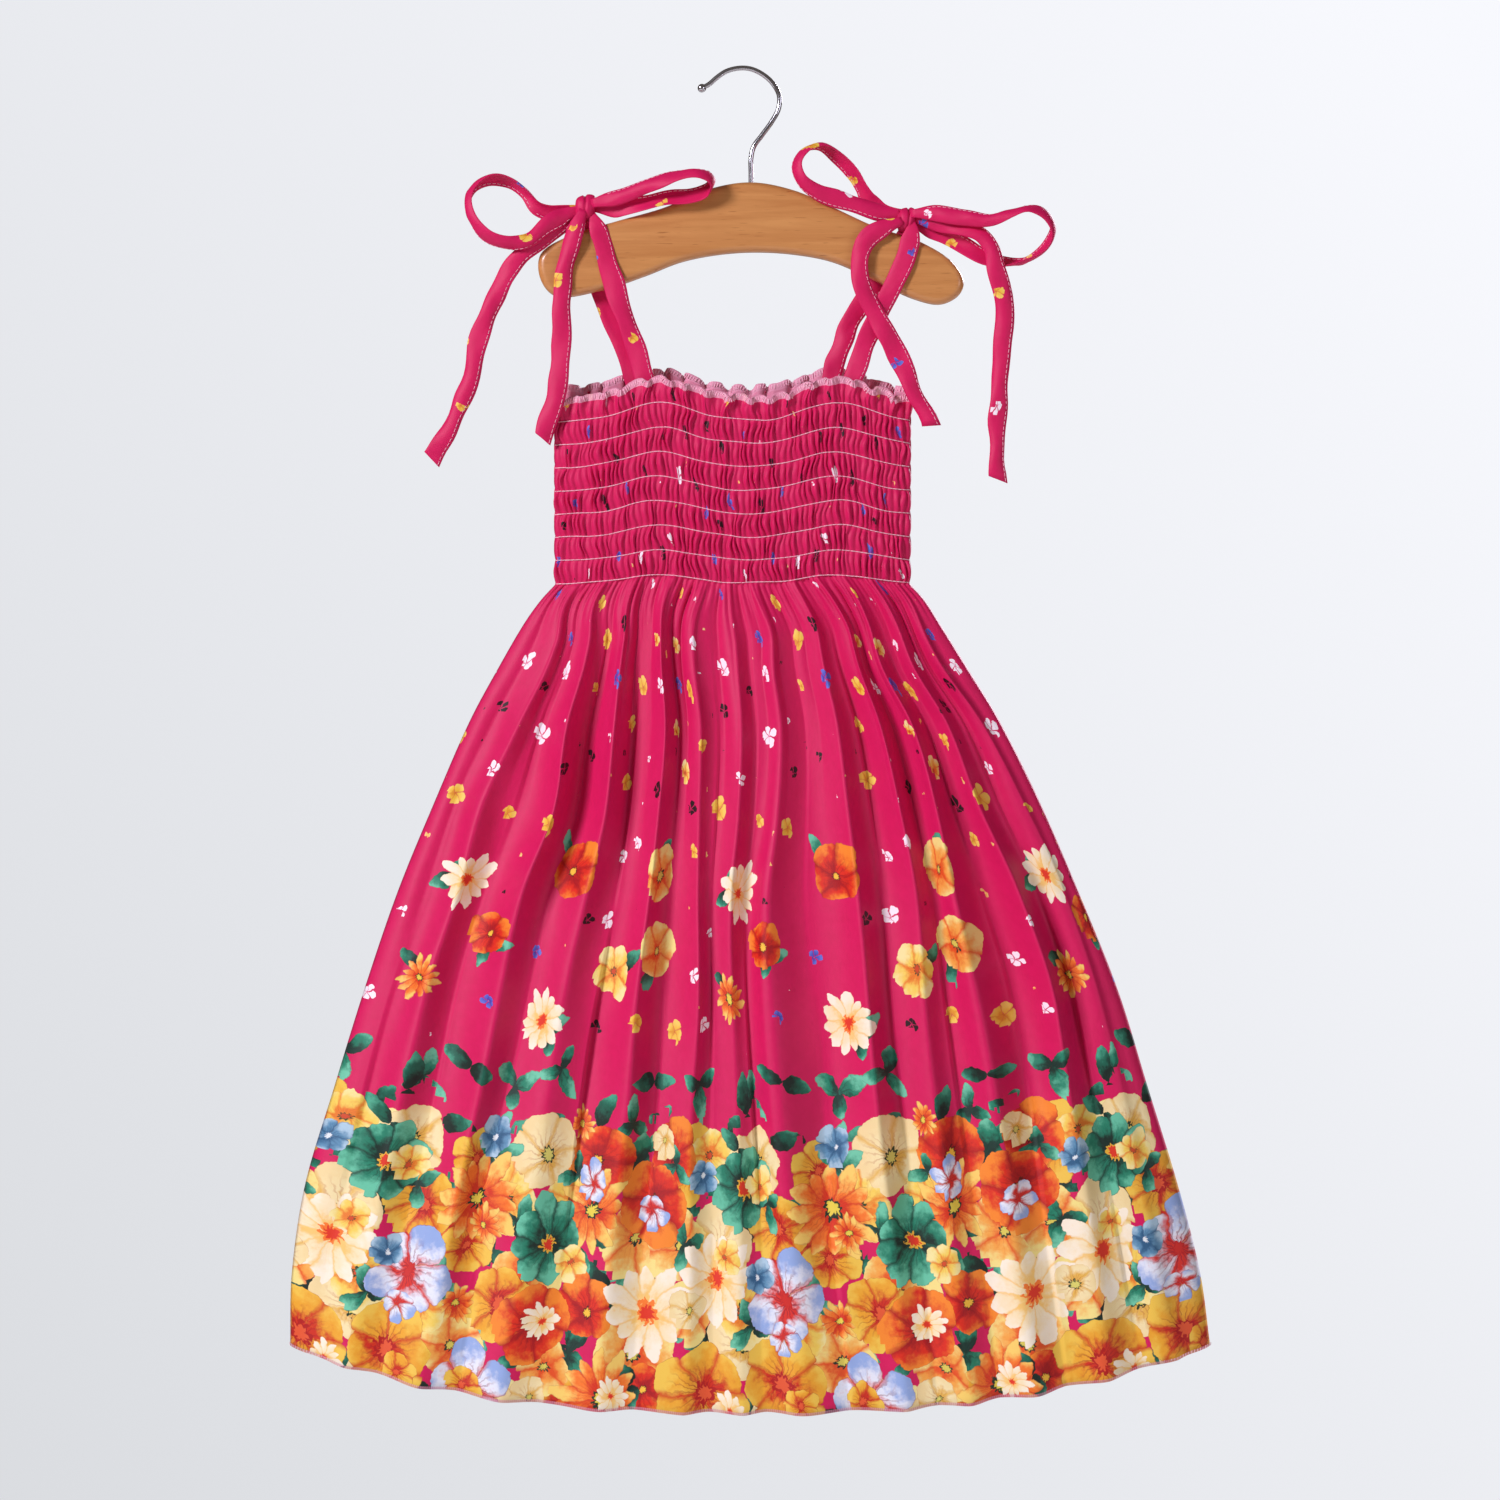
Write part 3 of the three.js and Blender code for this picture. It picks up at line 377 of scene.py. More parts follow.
def makeCotton(name, flowerTree, slots, edges=()):
    look = cottonLook
    material, tree = newMaterial(name)
    cloth = addNode(tree, "ShaderNodeUVMap", uv_map="cloth").outputs[0]
    wander = cloth
    for scale, share in ((0.05, 3.4), (0.35, 0.7)):
        inputs = {"Vector": cloth, "Scale": scale, "Detail": 1.0}
        noise = addNode(tree, "ShaderNodeTexNoise", inputs).outputs[1]
        reach = (look["wander"] * share,) * 3
        wander = addNode(tree, "ShaderNodeVectorMath", {0: noise, 1: reach, 2: wander},
                         operation="MULTIPLY_ADD").outputs[0]
    inputs = {"Vector": cloth, "Scale": look["mottleScale"], "Detail": 3.0, "Roughness": 0.6}
    mottle = addNode(tree, "ShaderNodeTexNoise", inputs).outputs[0]
    inputs = {0: mottle, 6: linear(look["groundDeep"]), 7: linear(look["ground"])}
    colour = addNode(tree, "ShaderNodeMix", inputs, data_type="RGBA").outputs[2]
    for slot in range(slots):
        place = addNode(tree, "ShaderNodeAttribute", attribute_name=f"flowerPlace{slot}").outputs[1]
        kind = addNode(tree, "ShaderNodeAttribute", attribute_name=f"flowerKind{slot}").outputs[1]
        inputs = {"Cloth": wander, "Place": place, "Kind": kind, "Mottle": mottle, "Below": colour}
        node = tree.nodes.new("ShaderNodeGroup")
        node.node_tree = flowerTree
        for socket, source in inputs.items():
            tree.links.new(source, node.inputs[socket])
        colour = node.outputs[0]
    wrong = addNode(tree, "ShaderNodeAttribute", attribute_name="wrongSide").outputs[2]
    inputs = {0: wrong, 1: look["wrongShare"]}
    share = addNode(tree, "ShaderNodeMath", inputs, operation="MULTIPLY").outputs[0]
    inputs = {0: share, 6: colour, 7: linear(look["wrongSide"])}
    colour = addNode(tree, "ShaderNodeMix", inputs, data_type="RGBA").outputs[2]
    u, v, _ = addNode(tree, "ShaderNodeSeparateXYZ", {0: cloth}).outputs
    # Thread-covered bands along the cut edges, with a stripe for each stitch
    turn = 2 * math.pi / look["overlockPitch"]
    stripe = addNode(tree, "ShaderNodeMath", {0: u, 1: turn}, operation="MULTIPLY").outputs[0]
    stripe = addNode(tree, "ShaderNodeMath", {0: stripe}, operation="SINE").outputs[0]
    inputs = {0: stripe, 6: linear(look["overlockDeep"]), 7: linear(look["overlock"])}
    threads = addNode(tree, "ShaderNodeMix", inputs, data_type="RGBA").outputs[2]
    for operation, limit, strength in edges:
        band = addNode(tree, "ShaderNodeMath", {0: v, 1: limit}, operation=operation).outputs[0]
        band = addNode(tree, "ShaderNodeMath", {0: band, 1: strength}, operation="MULTIPLY").outputs[0]
        inputs = {0: band, 6: colour, 7: threads}
        colour = addNode(tree, "ShaderNodeMix", inputs, data_type="RGBA").outputs[2]
    # Weave: warp and weft ridges, then soft crumples
    ridges = []
    for axis in (u, v):
        inputs = {0: axis, 1: 2 * math.pi / look["weave"]}
        ridge = addNode(tree, "ShaderNodeMath", inputs, operation="MULTIPLY").outputs[0]
        ridges.append(addNode(tree, "ShaderNodeMath", {0: ridge}, operation="SINE").outputs[0])
    weave = addNode(tree, "ShaderNodeMath", {0: ridges[0], 1: ridges[1]}, operation="MULTIPLY").outputs[0]
    inputs = {"Height": weave, "Strength": 0.25, "Distance": 0.00008}
    fine = addNode(tree, "ShaderNodeBump", inputs).outputs[0]
    inputs = {"Vector": cloth, "Scale": 0.05, "Detail": 4.0, "Roughness": 0.55}
    crumple = addNode(tree, "ShaderNodeTexNoise", inputs).outputs[0]
    inputs = {"Height": crumple, "Strength": 0.35, "Distance": 0.0012, "Normal": fine}
    bump = addNode(tree, "ShaderNodeBump", inputs).outputs[0]
    finishMaterial(tree, {
        "Base Color": colour, "Normal": bump, "Roughness": look["roughness"], "Specular IOR Level": 0.3,
        "Sheen Weight": 0.05, "Sheen Roughness": 0.45, "Sheen Tint": linear("#ff62c4"),
    })
    return material


# Spun polyester thread, pale pink: a soft twist that catches a little light
def makeThread(name, pale, deep):
    material, tree = newMaterial(name)
    place = addNode(tree, "ShaderNodeTexCoord").outputs["Object"]
    noise = addNode(tree, "ShaderNodeTexNoise", {"Vector": place, "Scale": 900.0, "Detail": 2.0}).outputs[0]
    inputs = {0: noise, 6: linear(deep), 7: linear(pale)}
    colour = addNode(tree, "ShaderNodeMix", inputs, data_type="RGBA").outputs[2]
    inputs = {"Height": noise, "Strength": 0.4, "Distance": 0.0001}
    bump = addNode(tree, "ShaderNodeBump", inputs).outputs[0]
    inputs = {"Base Color": colour, "Normal": bump, "Roughness": 0.55, "Specular IOR Level": 0.4}
    finishMaterial(tree, inputs)
    return material


# Beech, turned honey by its varnish: long fine grain with short dark flecks under a smooth clear coat
def makeWood():
    material, tree = newMaterial("varnishedBeech")
    place = addNode(tree, "ShaderNodeTexCoord").outputs["Object"]
    grain = addNode(tree, "ShaderNodeMapping", {"Vector": place, "Scale": (9.0, 120.0, 170.0)}).outputs[0]
    inputs = {"Vector": grain, "Scale": 1.0, "Detail": 5.0, "Roughness": 0.6, "Distortion": 0.6}
    noise = addNode(tree, "ShaderNodeTexNoise", inputs).outputs[0]
    flecks = addNode(tree, "ShaderNodeMapping", {"Vector": place, "Scale": (90.0, 700.0, 900.0)}).outputs[0]
    spots = addNode(tree, "ShaderNodeTexNoise", {"Vector": flecks, "Scale": 1.0, "Detail": 1.0}).outputs[0]
    spots = addNode(tree, "ShaderNodeMapRange", {0: spots, 1: 0.66, 2: 0.8}).outputs[0]
    ramp = addNode(tree, "ShaderNodeValToRGB", {0: noise})
    stops = ramp.color_ramp.elements
    stops[0].position, stops[0].color = 0.3, linear("#b37339")
    stops[1].position, stops[1].color = 0.7, linear("#cb8f50")
    inputs = {0: spots, 6: ramp.outputs[0], 7: linear("#9d612b")}
    colour = addNode(tree, "ShaderNodeMix", inputs, data_type="RGBA").outputs[2]
    inputs = {"Height": noise, "Strength": 0.12, "Distance": 0.0003}
    bump = addNode(tree, "ShaderNodeBump", inputs).outputs[0]
    finishMaterial(tree, {
        "Base Color": colour, "Normal": bump, "Roughness": 0.42,
        "Coat Weight": 0.45, "Coat Roughness": 0.16,
    })
    return material


# Bright chromium plate on steel wire: mirror-like, with faint drawing marks
def makeChrome():
    material, tree = newMaterial("chromedSteelWire")
    place = addNode(tree, "ShaderNodeTexCoord").outputs["Object"]
    noise = addNode(tree, "ShaderNodeTexNoise", {"Vector": place, "Scale": 45.0, "Detail": 2.0}).outputs[0]
    rough = addNode(tree, "ShaderNodeMapRange", {0: noise, 3: 0.12, 4: 0.26}).outputs[0]
    finishMaterial(tree, {"Base Color": linear("#b9bbc0"), "Metallic": 1.0, "Roughness": rough})
    return material


print("materials")
flowerTree = makeFlowerTree()
overlocked = [("LESS_THAN", skirt["overlock"], 0.55),
              ("GREATER_THAN", topOfCloth - frill["overlock"], 0.85)]
panelCotton = makeCotton("printedCottonLawn", flowerTree, printRepeat["slots"], overlocked)
strapCotton = makeCotton("foldedCottonTape", flowerTree, tapePrint["slots"])
paleThread = makeThread("palePinkThread", "#f8cbd8", "#e9a3b8")
hemThread = makeThread("hemOverlockThread", "#f6e3e6", "#e6a9b8")
varnishedBeech = makeWood()
chromedWire = makeChrome()


# Dress panels

strapPull = {"spread": 26, "top": 11, "waist": 5.5, "fadeAt": 140, "at": (-50.4, 56.4)}
cloth = {"thickness": 0.9, "seamGap": 0.3, "foldRoom": 1.6, "columns": 6, "frillSteps": 8, "bandSteps": 7,
         "skirtRows": 112, "innerColumns": 198, "innerBandSteps": 3, "innerSkirtRows": 56}

# Skirt sections: distance below the waist, left seam, right seam, depth in front and behind, and
# height of folds
skirtSections = np.array([
    (0, -112.8, 100.2, 9, 9, 1.4), (10, -122, 109.5, 11, 10, 2.4), (24, -132, 118.5, 14, 12, 3.6),
    (48, -146, 133.5, 17, 14, 5), (82, -164.4, 154.2, 21, 16, 6.4), (130, -185.4, 178.2, 25, 18, 7.4),
    (185, -208, 202, 29, 21, 7.6), (245, -228.5, 226, 32, 24, 7), (305, -247, 244.5, 35, 27, 6),
    (362, -264, 262, 37, 29, 4.9), (415, -272, 275.5, 39, 30, 3.9), (459, -273, 281.6, 40, 31, 3.2),
], float)

# Crest of each large fold at these distances below the waist, then its height
frontLevels = [0, 46, 82, 130, 178, 250, 459]
frontFolds = [
    (-103, -119, -137, -160, -173, -197, -242, 0.7), (-87, -96, -107, -115, -135, -152, -197, 1.25),
    (-66, -74, -79, -85, -97, -113, -149, 0.9), (-49, -50, -48, -52, -57, -68, -91, 1.1),
    (-33, -31, -26, -27, -29, -29, -38, 0.7), (-9, -5, -3, -5, -9, -7, -3, 0.5),
    (17, 16, 20, 17, 11, 14, 33, 0.8), (39, 46, 55, 61, 66, 74, 95, 1.3),
    (56, 67, 81, 92, 101, 107, 133, 0.8), (70, 80, 99, 114, 125, 139, 172, 1),
    (84, 100, 122, 140, 161, 186, 216, 1.25), (95, 117, 142, 167, 190, 214, 258, 0.7),
]
backLevels = [0, 130, 250, 459]
backFolds = [
    (-100, -158, -196, -240, 0.8), (-82, -124, -158, -192, 1.1), (-65, -88, -112, -143, 0.8),
    (-46, -59, -76, -98, 1.2), (-30, -33, -37, -47, 0.8), (-11, -6, 0, -2, 1), (10, 24, 34, 42, 0.7),
    (31, 50, 70, 88, 1.15), (49, 80, 104, 135, 0.9), (68, 116, 148, 180, 1.2), (84, 148, 190, 226, 0.8),
]
panels = {
    "frontPanelCloth": {"node": "front_panel", "face": -1, "rise": 0, "depth": 3, "levels": frontLevels,
                        "folds": frontFolds, "seed": 11, "printShift": 0},
    "backPanelCloth": {"node": "back_panel", "face": 1, "rise": 7, "depth": 4, "levels": backLevels,
                       "folds": backFolds, "seed": 57, "printShift": 71},
}


# Flattened tube that both panels lie on
def tubePlace(left, right, depth, face, across):
    c = 2 * across - 1
    half = (right - left) / 2
    bulge = np.maximum(1 - np.abs(c) ** 3, 0)
    y = depth * bulge ** skirt["depthPower"]
    nx = 3 * np.sign(c) * c * c / half
    ny = np.maximum(y / depth, 0) ** (1 / skirt["depthPower"] - 1) / skirt["depthPower"] / depth
    size = np.hypot(nx, ny)
    return (left + right) / 2 + half * c, face * (y + cloth["seamGap"] / 2), nx / size, face * ny / size, c


def strapLift(x, amount):
    return amount * sum(np.exp(-(((x - at) / strapPull["spread"]) ** 2)) for at in strapPull["at"])


# Height of each gather's puff across a panel. Its strength changes from one row to the next.
def gatherPuffs(seed, u, level):
    gather = u * bodice["gathers"]
    number = np.minimum(gather.astype(int), bodice["gathers"] - 1)
    draw = np.random.default_rng(seed)
    strength = draw.uniform(*bodice["uneven"], (bodice["gathers"], bodice["rows"] + 3))
    band = min(max(level, 0), lastRow) + 1.5
    low = int(band)
    t = smooth(band - low)
    vary = strength[number, low] * (1 - t) + strength[number, low + 1] * t
    return np.abs(np.sin(np.pi * gather)) ** 0.95 * vary


# Frill and bodice: up is 0 at the waist and 1 at the top row, free is 1 at the frill's edge
def bodiceLine(panel, level, u, inset, ends):
    face, seed = panel["face"], panel["seed"]
    up = min(max(1 - level / lastRow, 0), 1)
    free = max(-level, 0)
    gather = u * bodice["gathers"]
    wide, narrow = bodice["sway"]
    sway = wide * unevenness(seed + 1, gather / 4.5, level / 1.4)
    sway = sway + narrow * unevenness(seed + 2, gather / 2, level)
    across = u + ends * sway / bodice["gathers"] * (0 if inset else 1)
    left, right = bodice["left"] + inset, bodice["right"] - inset
    x, y, nx, ny, _ = tubePlace(left, right, bodice["depth"] - inset, face, across)
    swell = abs(math.sin(math.pi * level)) ** 0.7 if level > 0 else 0
    if free:
        swell = min(1, free * 4) * (1 - free) ** 0.5
    out = np.zeros_like(u)
    if not inset:
        puff = gatherPuffs(seed, u, level) * (bodice["pinch"] + (bodice["puff"] - bodice["pinch"]) * swell)
        out = puff * (1 - 0.75 * free) + bodice["swell"] * swell * (0 if free else 1)
    # The frill's waves are thrown out with rounded tops
    beat = 2 * np.pi * frill["waves"] * u + 1.1 * unevenness(seed + 3, u * 9, 0)
    wave = (0.5 + 0.5 * np.tanh(2 * np.sin(beat))) * (1 + 0.3 * unevenness(seed + 4, u * 12, 0))
    out = out + frill["throw"] * free ** 0.8 * wave
    x, y = x + nx * out, y + ny * out
    x = x + frill["lean"] * free * ends * np.cos(beat)
    if inset:
        y = y - face * 0.45 * cloth["foldRoom"] * smooth(free * 4)
    z = bodice["waist"] + up * lastRow * bodice["rowPitch"] + free * frill["height"] + panel["rise"] * up
    z = z + strapLift(x, strapPull["waist"] + (strapPull["top"] - strapPull["waist"]) * up)
    z = z + free * frill["ragged"] * unevenness(seed + 5, u * 15, 0)
    z = z + 0.5 * unevenness(seed + 6, u * 5, level / 3)
    z = z + free * frill["tip"] * (0.5 - wave)
    v = skirt["clothLength"] + up * lastRow * bodice["rowPitch"] + free * frill["height"]
    return x, y, z, nx, ny, v


# Skirt: drop is the distance below the waist along the photograph, fall its share of the whole
def skirtLine(panel, level, u, inset, ends):
    face, seed = panel["face"], panel["seed"]
    drop = level - lastRow
    fall = drop / skirt["length"]
    drops, columns = skirtSections[:, 0], skirtSections[:, [1, 2, panel["depth"], 5]].T
    left, right, depth, foldHeight = (tableValue(drops, column, drop) for column in columns)
    # Each point keeps its place between the crests of the folds, all the way down
    folds = np.array(panel["folds"], float)
    hem = skirtSections[-1]
    hemShare = np.concatenate([[0], (folds[:, -2] - hem[1]) / (hem[2] - hem[1]), [1]])
    order = np.arange(len(hemShare))
    station = np.interp(u, hemShare, order)
    crests = [(tableValue(panel["levels"], fold[:-1], drop) - left) / (right - left) for fold in folds]
    blend = smooth(drop / skirt["foldStart"])
    across = u * (1 - blend) + np.interp(station, order, [0, *crests, 1]) * blend
    across = across + ends * 0.0022 * unevenness(seed + 7, u * 7, drop / 150) * blend
    x, y, nx, ny, c = tubePlace(left + inset, right - inset, depth - inset, face, across)
    taper = smooth((1 - np.abs(c)) / skirt["foldTaper"])
    # Folds have a narrow crest and a wide valley, steeper on the right, and soften downwards
    part = (station + 0.5) % 1
    lean = skirt["foldLean"]
    slope = np.where(part < lean, part / lean, (1 - part) / (1 - lean))
    soften = 0.01 + 0.2 * smooth((drop - 110) / 270)
    bend = 1.9 - 0.3 * smooth((drop - 170) / 290)
    shape = (2 + 2.2 * soften ** 0.5) * (1 - np.sqrt((1 - slope ** bend) ** 2 + soften)) - 1
    size = np.interp(station, order, [0.6, *folds[:, -1], 0.6])
    size = size * (1 + 0.3 * unevenness(seed + 12, np.round(station) * 0.37, drop / 210))
    out = foldHeight * size * shape * taper
    # Small pleats, two gathers each, run out of the waist
    pair = u * bodice["gathers"] / 2 + 0.35 * unevenness(seed + 8, u * 6, 0)
    pairSize = 0.7 + 0.5 * unevenness(seed + 9, np.floor(pair) * 0.37, 0)
    pairFade = smooth(drop / 9) * (1 - smooth(drop / skirt["pleatEnd"]))
    out = out + (np.abs(np.sin(np.pi * pair)) ** 0.8 - 0.45) * pairSize * skirt["pleat"] * pairFade * taper
    if not inset:
        out = out + gatherPuffs(seed, u, level) * 1.1 * (1 - smooth(drop / 34))
    out = out + taper * smooth(drop / 60) * (1.1 * unevenness(seed + 10, x / 58, drop / 190)
                                             + 0.45 * unevenness(seed + 11, x / 22, drop / 130))
    if inset:
        out = out - cloth["foldRoom"] * smooth(drop / 30) * taper
    y = y + face * out
    lift = strapLift(x, strapPull["waist"] * (1 - smooth(drop / strapPull["fadeAt"])))
    dip = skirt["hemDip"] * (1 - np.abs(c) ** 2.5) + skirt["scallop"] * shape * taper
    z = bodice["waist"] + lift - fall * (skirt["length"] + dip)
    return x, y, z, nx, ny, (1 - fall) * skirt["clothLength"]


# One line across a panel. Level -1 is the frill's edge, 0 to 7 are the stitch rows, and beyond 7 it is
# the distance below the waist. Inset is 0 on the outer face.
def panelLine(panel, level, count, inset):
    u = np.arange(count + 1) / count
    ends = smooth(np.minimum(u, 1 - u) * 40)
    line = bodiceLine if level <= lastRow else skirtLine
    x, y, z, nx, ny, v = line(panel, level, u, inset, ends)
    points = np.stack([x, y, z], axis=1)
    normals = np.stack([nx, ny, np.zeros_like(nx)], axis=1)
    return points, np.stack([u * skirt["clothWidth"], np.full_like(u, v)], axis=1), normals


# Triangles between two lines with different numbers of points
def zipLines(first, firstAt, second, secondAt):
    faces = []
    i = j = 0
    while i < len(first) - 1 or j < len(second) - 1:
        nextFirst = firstAt[i + 1] if i < len(first) - 1 else 1e9
        nextSecond = secondAt[j + 1] if j < len(second) - 1 else 1e9
        if nextFirst <= nextSecond:
            faces.append((first[i], second[j], first[i + 1]))
            i += 1
        else:
            faces.append((first[i], second[j], second[j + 1]))
            j += 1
    return faces


def newObject(name, mesh, material):
    piece = bpy.data.objects.new(name, mesh)
    scene.collection.objects.link(piece)
    mesh.materials.append(material)
    return piece


# Smooth-shaded mesh from points in millimetres
def newMesh(name, points, faces):
    mesh = bpy.data.meshes.new(name)
    mesh.from_pydata((points * mm).tolist(), [], faces)
    mesh.shade_smooth()
    mesh.update()
    return mesh


# Closed mesh, turned right side out
def solidMesh(name, points, faces):
    volume = 0
    for face in faces:
        a, b, c = points[face[0]], points[face[1]], points[face[-1]]
        volume += a @ np.cross(b, c)
    if volume < 0:
        faces = [face[::-1] for face in faces]
    return newMesh(name, points, faces)


# Faces of a tube from its rings of points, with both ends closed
def tubeFaces(rings, around):
    faces = []
    for i in range(rings - 1):
        for j in range(around):
            a, b = i * around + j, i * around + (j + 1) % around
            faces.append((a, b, b + around, a + around))
    faces.append(tuple(range(around))[::-1])
    faces.append(tuple((rings - 1) * around + j for j in range(around)))
    return faces


def makePanel(name, panel):
    def levels(frillSteps, bandSteps, skirtRows):
        made = [-1 + i / frillSteps for i in range(frillSteps)]
        made += [i / bandSteps for i in range(lastRow * bandSteps + 1)]
        return made + [lastRow + skirt["length"] * (i / skirtRows) ** 1.3 for i in range(1, skirtRows + 1)]

    outerCount = bodice["gathers"] * cloth["columns"]
    sides = [
        (levels(cloth["frillSteps"], cloth["bandSteps"], cloth["skirtRows"]), outerCount, 0),
        (levels(cloth["frillSteps"], cloth["innerBandSteps"], cloth["innerSkirtRows"]),
         cloth["innerColumns"], cloth["thickness"]),
    ]
    points, uv, faces, grids = [], [], [], []
    base = 0
    for rows, count, inset in sides:
        for level in rows:
            line, place, _ = panelLine(panel, level, count, inset)
            points.append(line)
            uv.append(place)
        grids.append(base + np.arange(len(rows) * (count + 1)).reshape(len(rows), count + 1))
        base += len(rows) * (count + 1)
    outer, inner = grids
    for grid, flip in ((outer, panel["face"] > 0), (inner, panel["face"] < 0)):
        corners = [grid[:-1, :-1], grid[1:, :-1], grid[1:, 1:], grid[:-1, 1:]]
        quads = np.stack(corners, axis=-1).reshape(-1, 4)
        faces += (quads[:, ::-1] if flip else quads).tolist()
    outerFaces = outer[:-1, :-1].size
    innerFaces = inner[:-1, :-1].size
    points, uv = np.concatenate(points), np.concatenate(uv)
    across = [np.linspace(0, 1, grid.shape[1]) for grid in grids]
    edges = [
        (inner[0], across[1], outer[0], across[0]), (outer[-1], across[0], inner[-1], across[1]),
        (outer[:, 0], -points[outer[:, 0], 2], inner[:, 0], -points[inner[:, 0], 2]),
        (inner[:, -1], -points[inner[:, -1], 2], outer[:, -1], -points[outer[:, -1], 2]),
    ]
    for first, firstAt, second, secondAt in edges:
        made = zipLines(first.tolist(), firstAt, second.tolist(), secondAt)
        faces += [face[::-1] for face in made] if panel["face"] > 0 else made
    mesh = newMesh(name, points, faces)
    wrong = np.zeros(len(mesh.polygons), np.float32)
    wrong[outerFaces:outerFaces + innerFaces] = 1
    mesh.attributes.new("wrongSide", "FLOAT", "FACE").data.foreach_set("value", wrong)
    motifs = scatterFlowers(printBands, printRepeat["width"], printRepeat["seed"])
    printOn(mesh, uv + [panel["printShift"], 0], motifs, printRepeat)
    return newObject(name, mesh, panelCotton)


print("panels")
pieces = {}
for panelName, panelFacts in panels.items():
    pieces[panelName] = makePanel(panelName, panelFacts)


# Thread: stitches set along lines by one tree

def makeStitchTree():
    sockets = {"Geometry": "Geometry", "Spacing": "Float", "Start": "Vector", "Start Handle": "Vector",
               "End Handle": "Vector", "End": "Vector", "Thread Radius": "Float", "Seed": "Int",
               "Material": "Material"}
    tree = newGroup("threadStitches", "GeometryNodeTree", sockets, {"Geometry": "Geometry"})
    given = addNode(tree, "NodeGroupInput").outputs
    line = addNode(tree, "GeometryNodeMeshToCurve", {"Mesh": given["Geometry"]}).outputs[0]
    line = addNode(tree, "GeometryNodeResampleCurve", {"Curve": line, "Length": given["Spacing"]},
                   mode="LENGTH").outputs[0]
    along = addNode(tree, "GeometryNodeInputTangent").outputs[0]
    up = addNode(tree, "GeometryNodeInputNamedAttribute", {"Name": "up"},
                 data_type="FLOAT_VECTOR").outputs[0]
    turn = addNode(tree, "FunctionNodeAxesToRotation", {"Primary Axis": along, "Secondary Axis": up},
                   primary_axis="X", secondary_axis="Z").outputs[0]
    size = addNode(tree, "FunctionNodeRandomValue", {"Seed": given["Seed"]}, data_type="FLOAT")
    size.inputs[2].default_value, size.inputs[3].default_value = 0.88, 1.06
    shape = addNode(tree, "GeometryNodeCurvePrimitiveBezierSegment", {
        "Resolution": 5, "Start": given["Start"], "Start Handle": given["Start Handle"],
        "End Handle": given["End Handle"], "End": given["End"]}, mode="POSITION").outputs[0]
    inputs = {"Resolution": 5, "Radius": given["Thread Radius"]}
    section = addNode(tree, "GeometryNodeCurvePrimitiveCircle", inputs).outputs[0]
    inputs = {"Curve": shape, "Profile Curve": section, "Fill Caps": True}
    stitch = addNode(tree, "GeometryNodeCurveToMesh", inputs).outputs[0]
    inputs = {"Points": line, "Instance": stitch, "Rotation": turn, "Scale": size.outputs[1]}
    made = addNode(tree, "GeometryNodeInstanceOnPoints", inputs).outputs[0]
    made = addNode(tree, "GeometryNodeRealizeInstances", {0: made}).outputs[0]
    made = addNode(tree, "GeometryNodeSetShadeSmooth", {0: made}).outputs[0]
    inputs = {"Geometry": made, "Material": given["Material"]}
    made = addNode(tree, "GeometryNodeSetMaterial", inputs).outputs[0]
    addNode(tree, "NodeGroupOutput", {0: made})
    return tree


stitchTree = makeStitchTree()

# Each kind of stitch: spacing, thread radius, and its four control points along, sideways and outwards
stitchKinds = {
    "shirring": (2.85, 0.3, ((-1.35, 0, 0), (-0.6, 0, 0.45), (0.6, 0, 0.45), (1.35, 0, 0))),
    "frillEdge": (1.7, 0.34, ((-0.85, -1.0, -3.3), (-0.3, -1.35, 1.0), (0.3, 1.35, 1.0),
                              (0.85, 1.0, -3.3))),
    "hemEdge": (2.1, 0.22, ((-0.6, -0.8, -1.7), (-0.2, -1.0, 0.8), (0.2, 1.0, 0.8), (0.6, 0.8, -1.7))),
    "topstitch": (3.1, 0.19, ((-1.05, 0, -0.08), (-0.5, 0, 0.26), (0.5, 0, 0.26), (1.05, 0, -0.08))),
}


def makeStitches(name, kind, lines, material, seed):
    spacing, radius, control = stitchKinds[kind]
    points = np.concatenate([line for line, _ in lines])
    ups = np.concatenate([up for _, up in lines])
    edges, base = [], 0
    for line, _ in lines:
        edges += [(base + i, base + i + 1) for i in range(len(line) - 1)]
        base += len(line)
    mesh = bpy.data.meshes.new(name)
    mesh.from_pydata((points * mm).tolist(), edges, [])
    upward = mesh.attributes.new("up", "FLOAT_VECTOR", "POINT")
    upward.data.foreach_set("vector", ups.astype(np.float32).ravel())
    piece = bpy.data.objects.new(name, mesh)
    scene.collection.objects.link(piece)
    modifier = piece.modifiers.new("stitches", "NODES")
    modifier.node_group = stitchTree
    chosen = {"Spacing": spacing * mm, "Thread Radius": radius * mm, "Seed": seed, "Material": material}
    for label, place in zip(("Start", "Start Handle", "End Handle", "End"), control):
        chosen[label] = tuple(c * mm for c in place)
    for item in stitchTree.interface.items_tree:
        if item.in_out == "INPUT" and item.name in chosen:
            modifier[item.identifier] = chosen[item.name]
    bpy.context.view_layer.update()
    made = bpy.data.meshes.new_from_object(piece.evaluated_get(bpy.context.evaluated_depsgraph_get()))
    piece.modifiers.remove(modifier)
    piece.data = made
    made.name = name
    return piece


